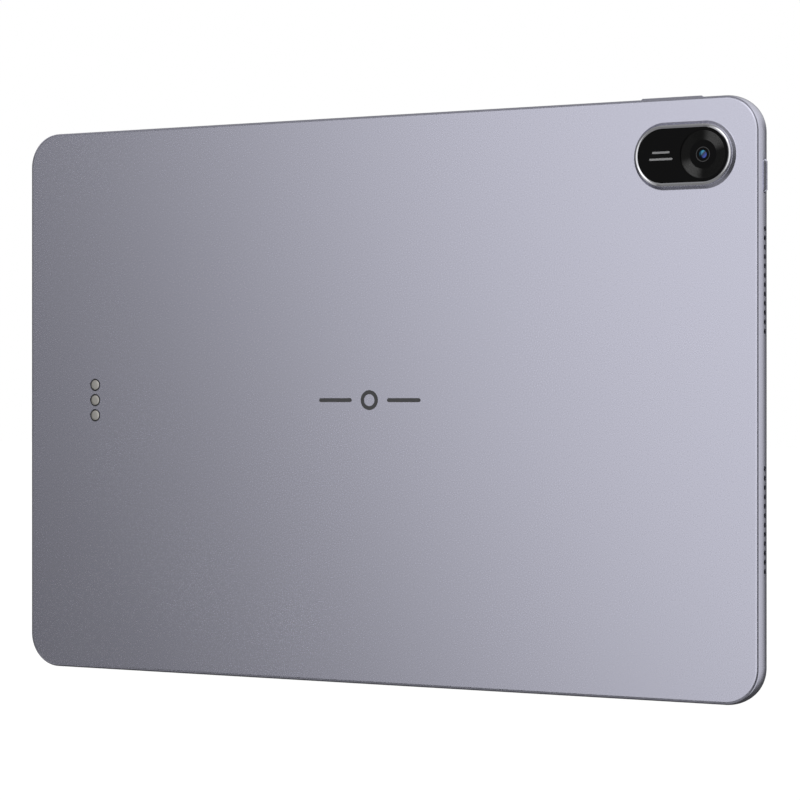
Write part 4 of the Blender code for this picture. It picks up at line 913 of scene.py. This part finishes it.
INNER_FINISHES = {
    "anodised_aluminium": anodised,
    "polished_steel": polish,
    "plated_steel": plated,
    "contact_metal": nickel,
    "cover_glass": pane,
    "camera_glass": gloss,
    "lens_black": moulded,
    "black_plastic": inner_finish("black_moulding", (0.010, 0.010, 0.011), (0.022, 0.022, 0.024),
                                  0.0, 0.35, 0.6, 1600.0, 0.01 * MM),
    "display_glass": inner_finish("panel_stack", (0.02, 0.02, 0.025), (0.03, 0.03, 0.04),
                                  0.0, 0.1, 0.2, 300.0, 0.002 * MM),
    "light_guide": inner_finish("white_light_guide", (0.72, 0.73, 0.74), (0.82, 0.83, 0.84),
                                0.0, 0.3, 0.5, 200.0, 0.005 * MM),
    "cell_foil": inner_finish("cell_foil", (0.05, 0.05, 0.055), (0.10, 0.10, 0.11),
                              0.6, 0.3, 0.5, 120.0, 0.05 * MM),
    "tape": inner_finish("white_tape", (0.62, 0.62, 0.60), (0.75, 0.75, 0.73),
                         0.0, 0.5, 0.7, 900.0, 0.01 * MM),
    "circuit_board": inner_finish("solder_mask", (0.005, 0.03, 0.02), (0.01, 0.06, 0.035),
                                  0.0, 0.3, 0.5, 700.0, 0.02 * MM),
    "flex_film": inner_finish("polyimide_flex", (0.10, 0.05, 0.015), (0.22, 0.11, 0.03),
                              0.1, 0.3, 0.5, 600.0, 0.01 * MM),
    "graphite": inner_finish("graphite_sheet", (0.02, 0.02, 0.022), (0.05, 0.05, 0.055),
                             0.5, 0.4, 0.6, 500.0, 0.01 * MM),
    "nickel_mesh": inner_finish("speaker_gauze", (0.006, 0.006, 0.007), (0.06, 0.06, 0.065),
                                0.6, 0.4, 0.6, 5200.0, 0.05 * MM),
    "magnet_plate": inner_finish("nickel_magnet", (0.45, 0.44, 0.42), (0.60, 0.59, 0.56),
                                 1.0, 0.25, 0.4, 400.0, 0.01 * MM),
    "foam": inner_finish("black_foam", (0.008, 0.008, 0.009), (0.03, 0.03, 0.032),
                         0.0, 0.8, 0.95, 2500.0, 0.08 * MM),
}
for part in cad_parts.values():
    for slot in part.material_slots:
        slot.material = INNER_FINISHES[slot.material.name.split(".")[0]]

# ---------------------------------------------------------------------------------------------
# Studio. The tablet stands upright on a white sweep in a white room, lit by one large soft box
# that faces its back, with weaker boxes above, below, at both sides and before the display.
# ---------------------------------------------------------------------------------------------
FLOOR_SIZE = 8
FLOOR_DROP = 0.05 * MM
PAPER_GLOW = 1.12
PAPER_SHADE = 0.12
scene = bpy.context.scene
scene.view_settings.view_transform = "Standard"
scene.view_settings.look = "None"
bpy.ops.object.select_all(action="DESELECT")
bpy.ops.mesh.primitive_plane_add(size=FLOOR_SIZE, location=(0, 0, housing_low.z - FLOOR_DROP))
floor = bpy.context.object
floor.name = "studio_floor"
floor.visible_glossy = floor.visible_diffuse = floor.visible_transmission = False
paper = bpy.data.materials.new("white_paper")
paper.use_nodes = True
paper_tree = paper.node_tree
paper_out = paper_tree.nodes["Material Output"]
paper_tree.nodes.remove(paper_tree.nodes["Principled BSDF"])
paper_glow = node(paper_tree, "Emission", in_Strength=PAPER_GLOW, in_Color=(1, 1, 1, 1))
paper_face = node(paper_tree, "BsdfDiffuse", in_Color=(0.9, 0.9, 0.9, 1))
paper_mix = node(paper_tree, "MixShader", {1: paper_glow.outputs[0], 2: paper_face.outputs[0]},
                 in_Fac=PAPER_SHADE)
paper_tree.links.new(paper_mix.outputs[0], paper_out.inputs["Surface"])
floor.data.materials.append(paper)

world = bpy.data.worlds.new("studio_room")
scene.world = world
world.use_nodes = True
room = world.node_tree
room.nodes.clear()
room_out = room.nodes.new("ShaderNodeOutputWorld")
direction = node(room, "TexCoord").outputs["Generated"]
# Each box: azimuth from straight behind the back towards the right, elevation, brightness, the
# angles from its middle where it starts and stops fading, in degrees, and its upright stretch.
BOXES = (
    (3.7, 10.7, 0.835, 34.7, 37.8, 1.0),
    (18, 38, 0.52, 10, 20, 1.0),
    (0, -60, 0.20, 15, 45, 1.0),
    (172, 38, 0.50, 12, 32, 1.0),
    (120, 0, 0.66, 20, 42, 0.35),
    (-58, -27, 0.45, 9, 18, 1.0),
    (-116, 27, 0.70, 8, 20, 1.0),
)
FLOOR_LIGHT, CEILING_LIGHT = 0.06, 0.32
height = node(room, "SeparateXYZ", {0: direction})
total = node(room, "MapRange", {"Value": height.outputs["Z"]}, in_From_Min=-0.2, in_From_Max=0.9,
             in_To_Min=FLOOR_LIGHT, in_To_Max=CEILING_LIGHT).outputs["Result"]
for azimuth, elevation, brightness, core, edge, stretch in BOXES:
    a, e = math.radians(azimuth), math.radians(elevation)
    drawn = node(room, "VectorMath", {0: direction}, operation="MULTIPLY")
    drawn.inputs[1].default_value = (1, 1, stretch)
    even = node(room, "VectorMath", {0: drawn.outputs["Vector"]}, operation="NORMALIZE")
    aim = node(room, "VectorMath", {0: even.outputs["Vector"]}, operation="DOT_PRODUCT")
    aim.inputs[1].default_value = (
        math.sin(a) * math.cos(e), -math.cos(a) * math.cos(e), math.sin(e)
    )
    fade = node(room, "MapRange", {"Value": aim.outputs["Value"]},
                interpolation_type="SMOOTHSTEP", in_From_Min=math.cos(math.radians(edge)),
                in_From_Max=math.cos(math.radians(core)), in_To_Min=0.0, in_To_Max=brightness)
    total = node(room, "Math", {0: total, 1: fade.outputs["Result"]}, operation="ADD").outputs[0]
boxes_light = node(room, "Background", {"Strength": total}, in_Color=(1, 1, 1, 1))
backdrop = node(room, "Background", in_Color=(1, 1, 1, 1), in_Strength=1.0)
seen = node(room, "LightPath")
choice = node(room, "MixShader", {0: seen.outputs["Is Camera Ray"], 1: boxes_light.outputs[0],
                                  2: backdrop.outputs[0]})
room.links.new(choice.outputs[0], room_out.inputs["Surface"])

CAMERA_PLACE = (0.4398, -0.74915, 0.00004)
CAMERA_YAW = 29.752
CAMERA_LENS = 125.843
camera_data = bpy.data.cameras.new("camera")
camera_data.sensor_width = 36.0
camera_data.lens = CAMERA_LENS
camera = bpy.data.objects.new("camera", camera_data)
camera.location = CAMERA_PLACE
camera.rotation_euler = (math.pi / 2, 0, math.radians(CAMERA_YAW))
scene.collection.objects.link(camera)
scene.camera = camera
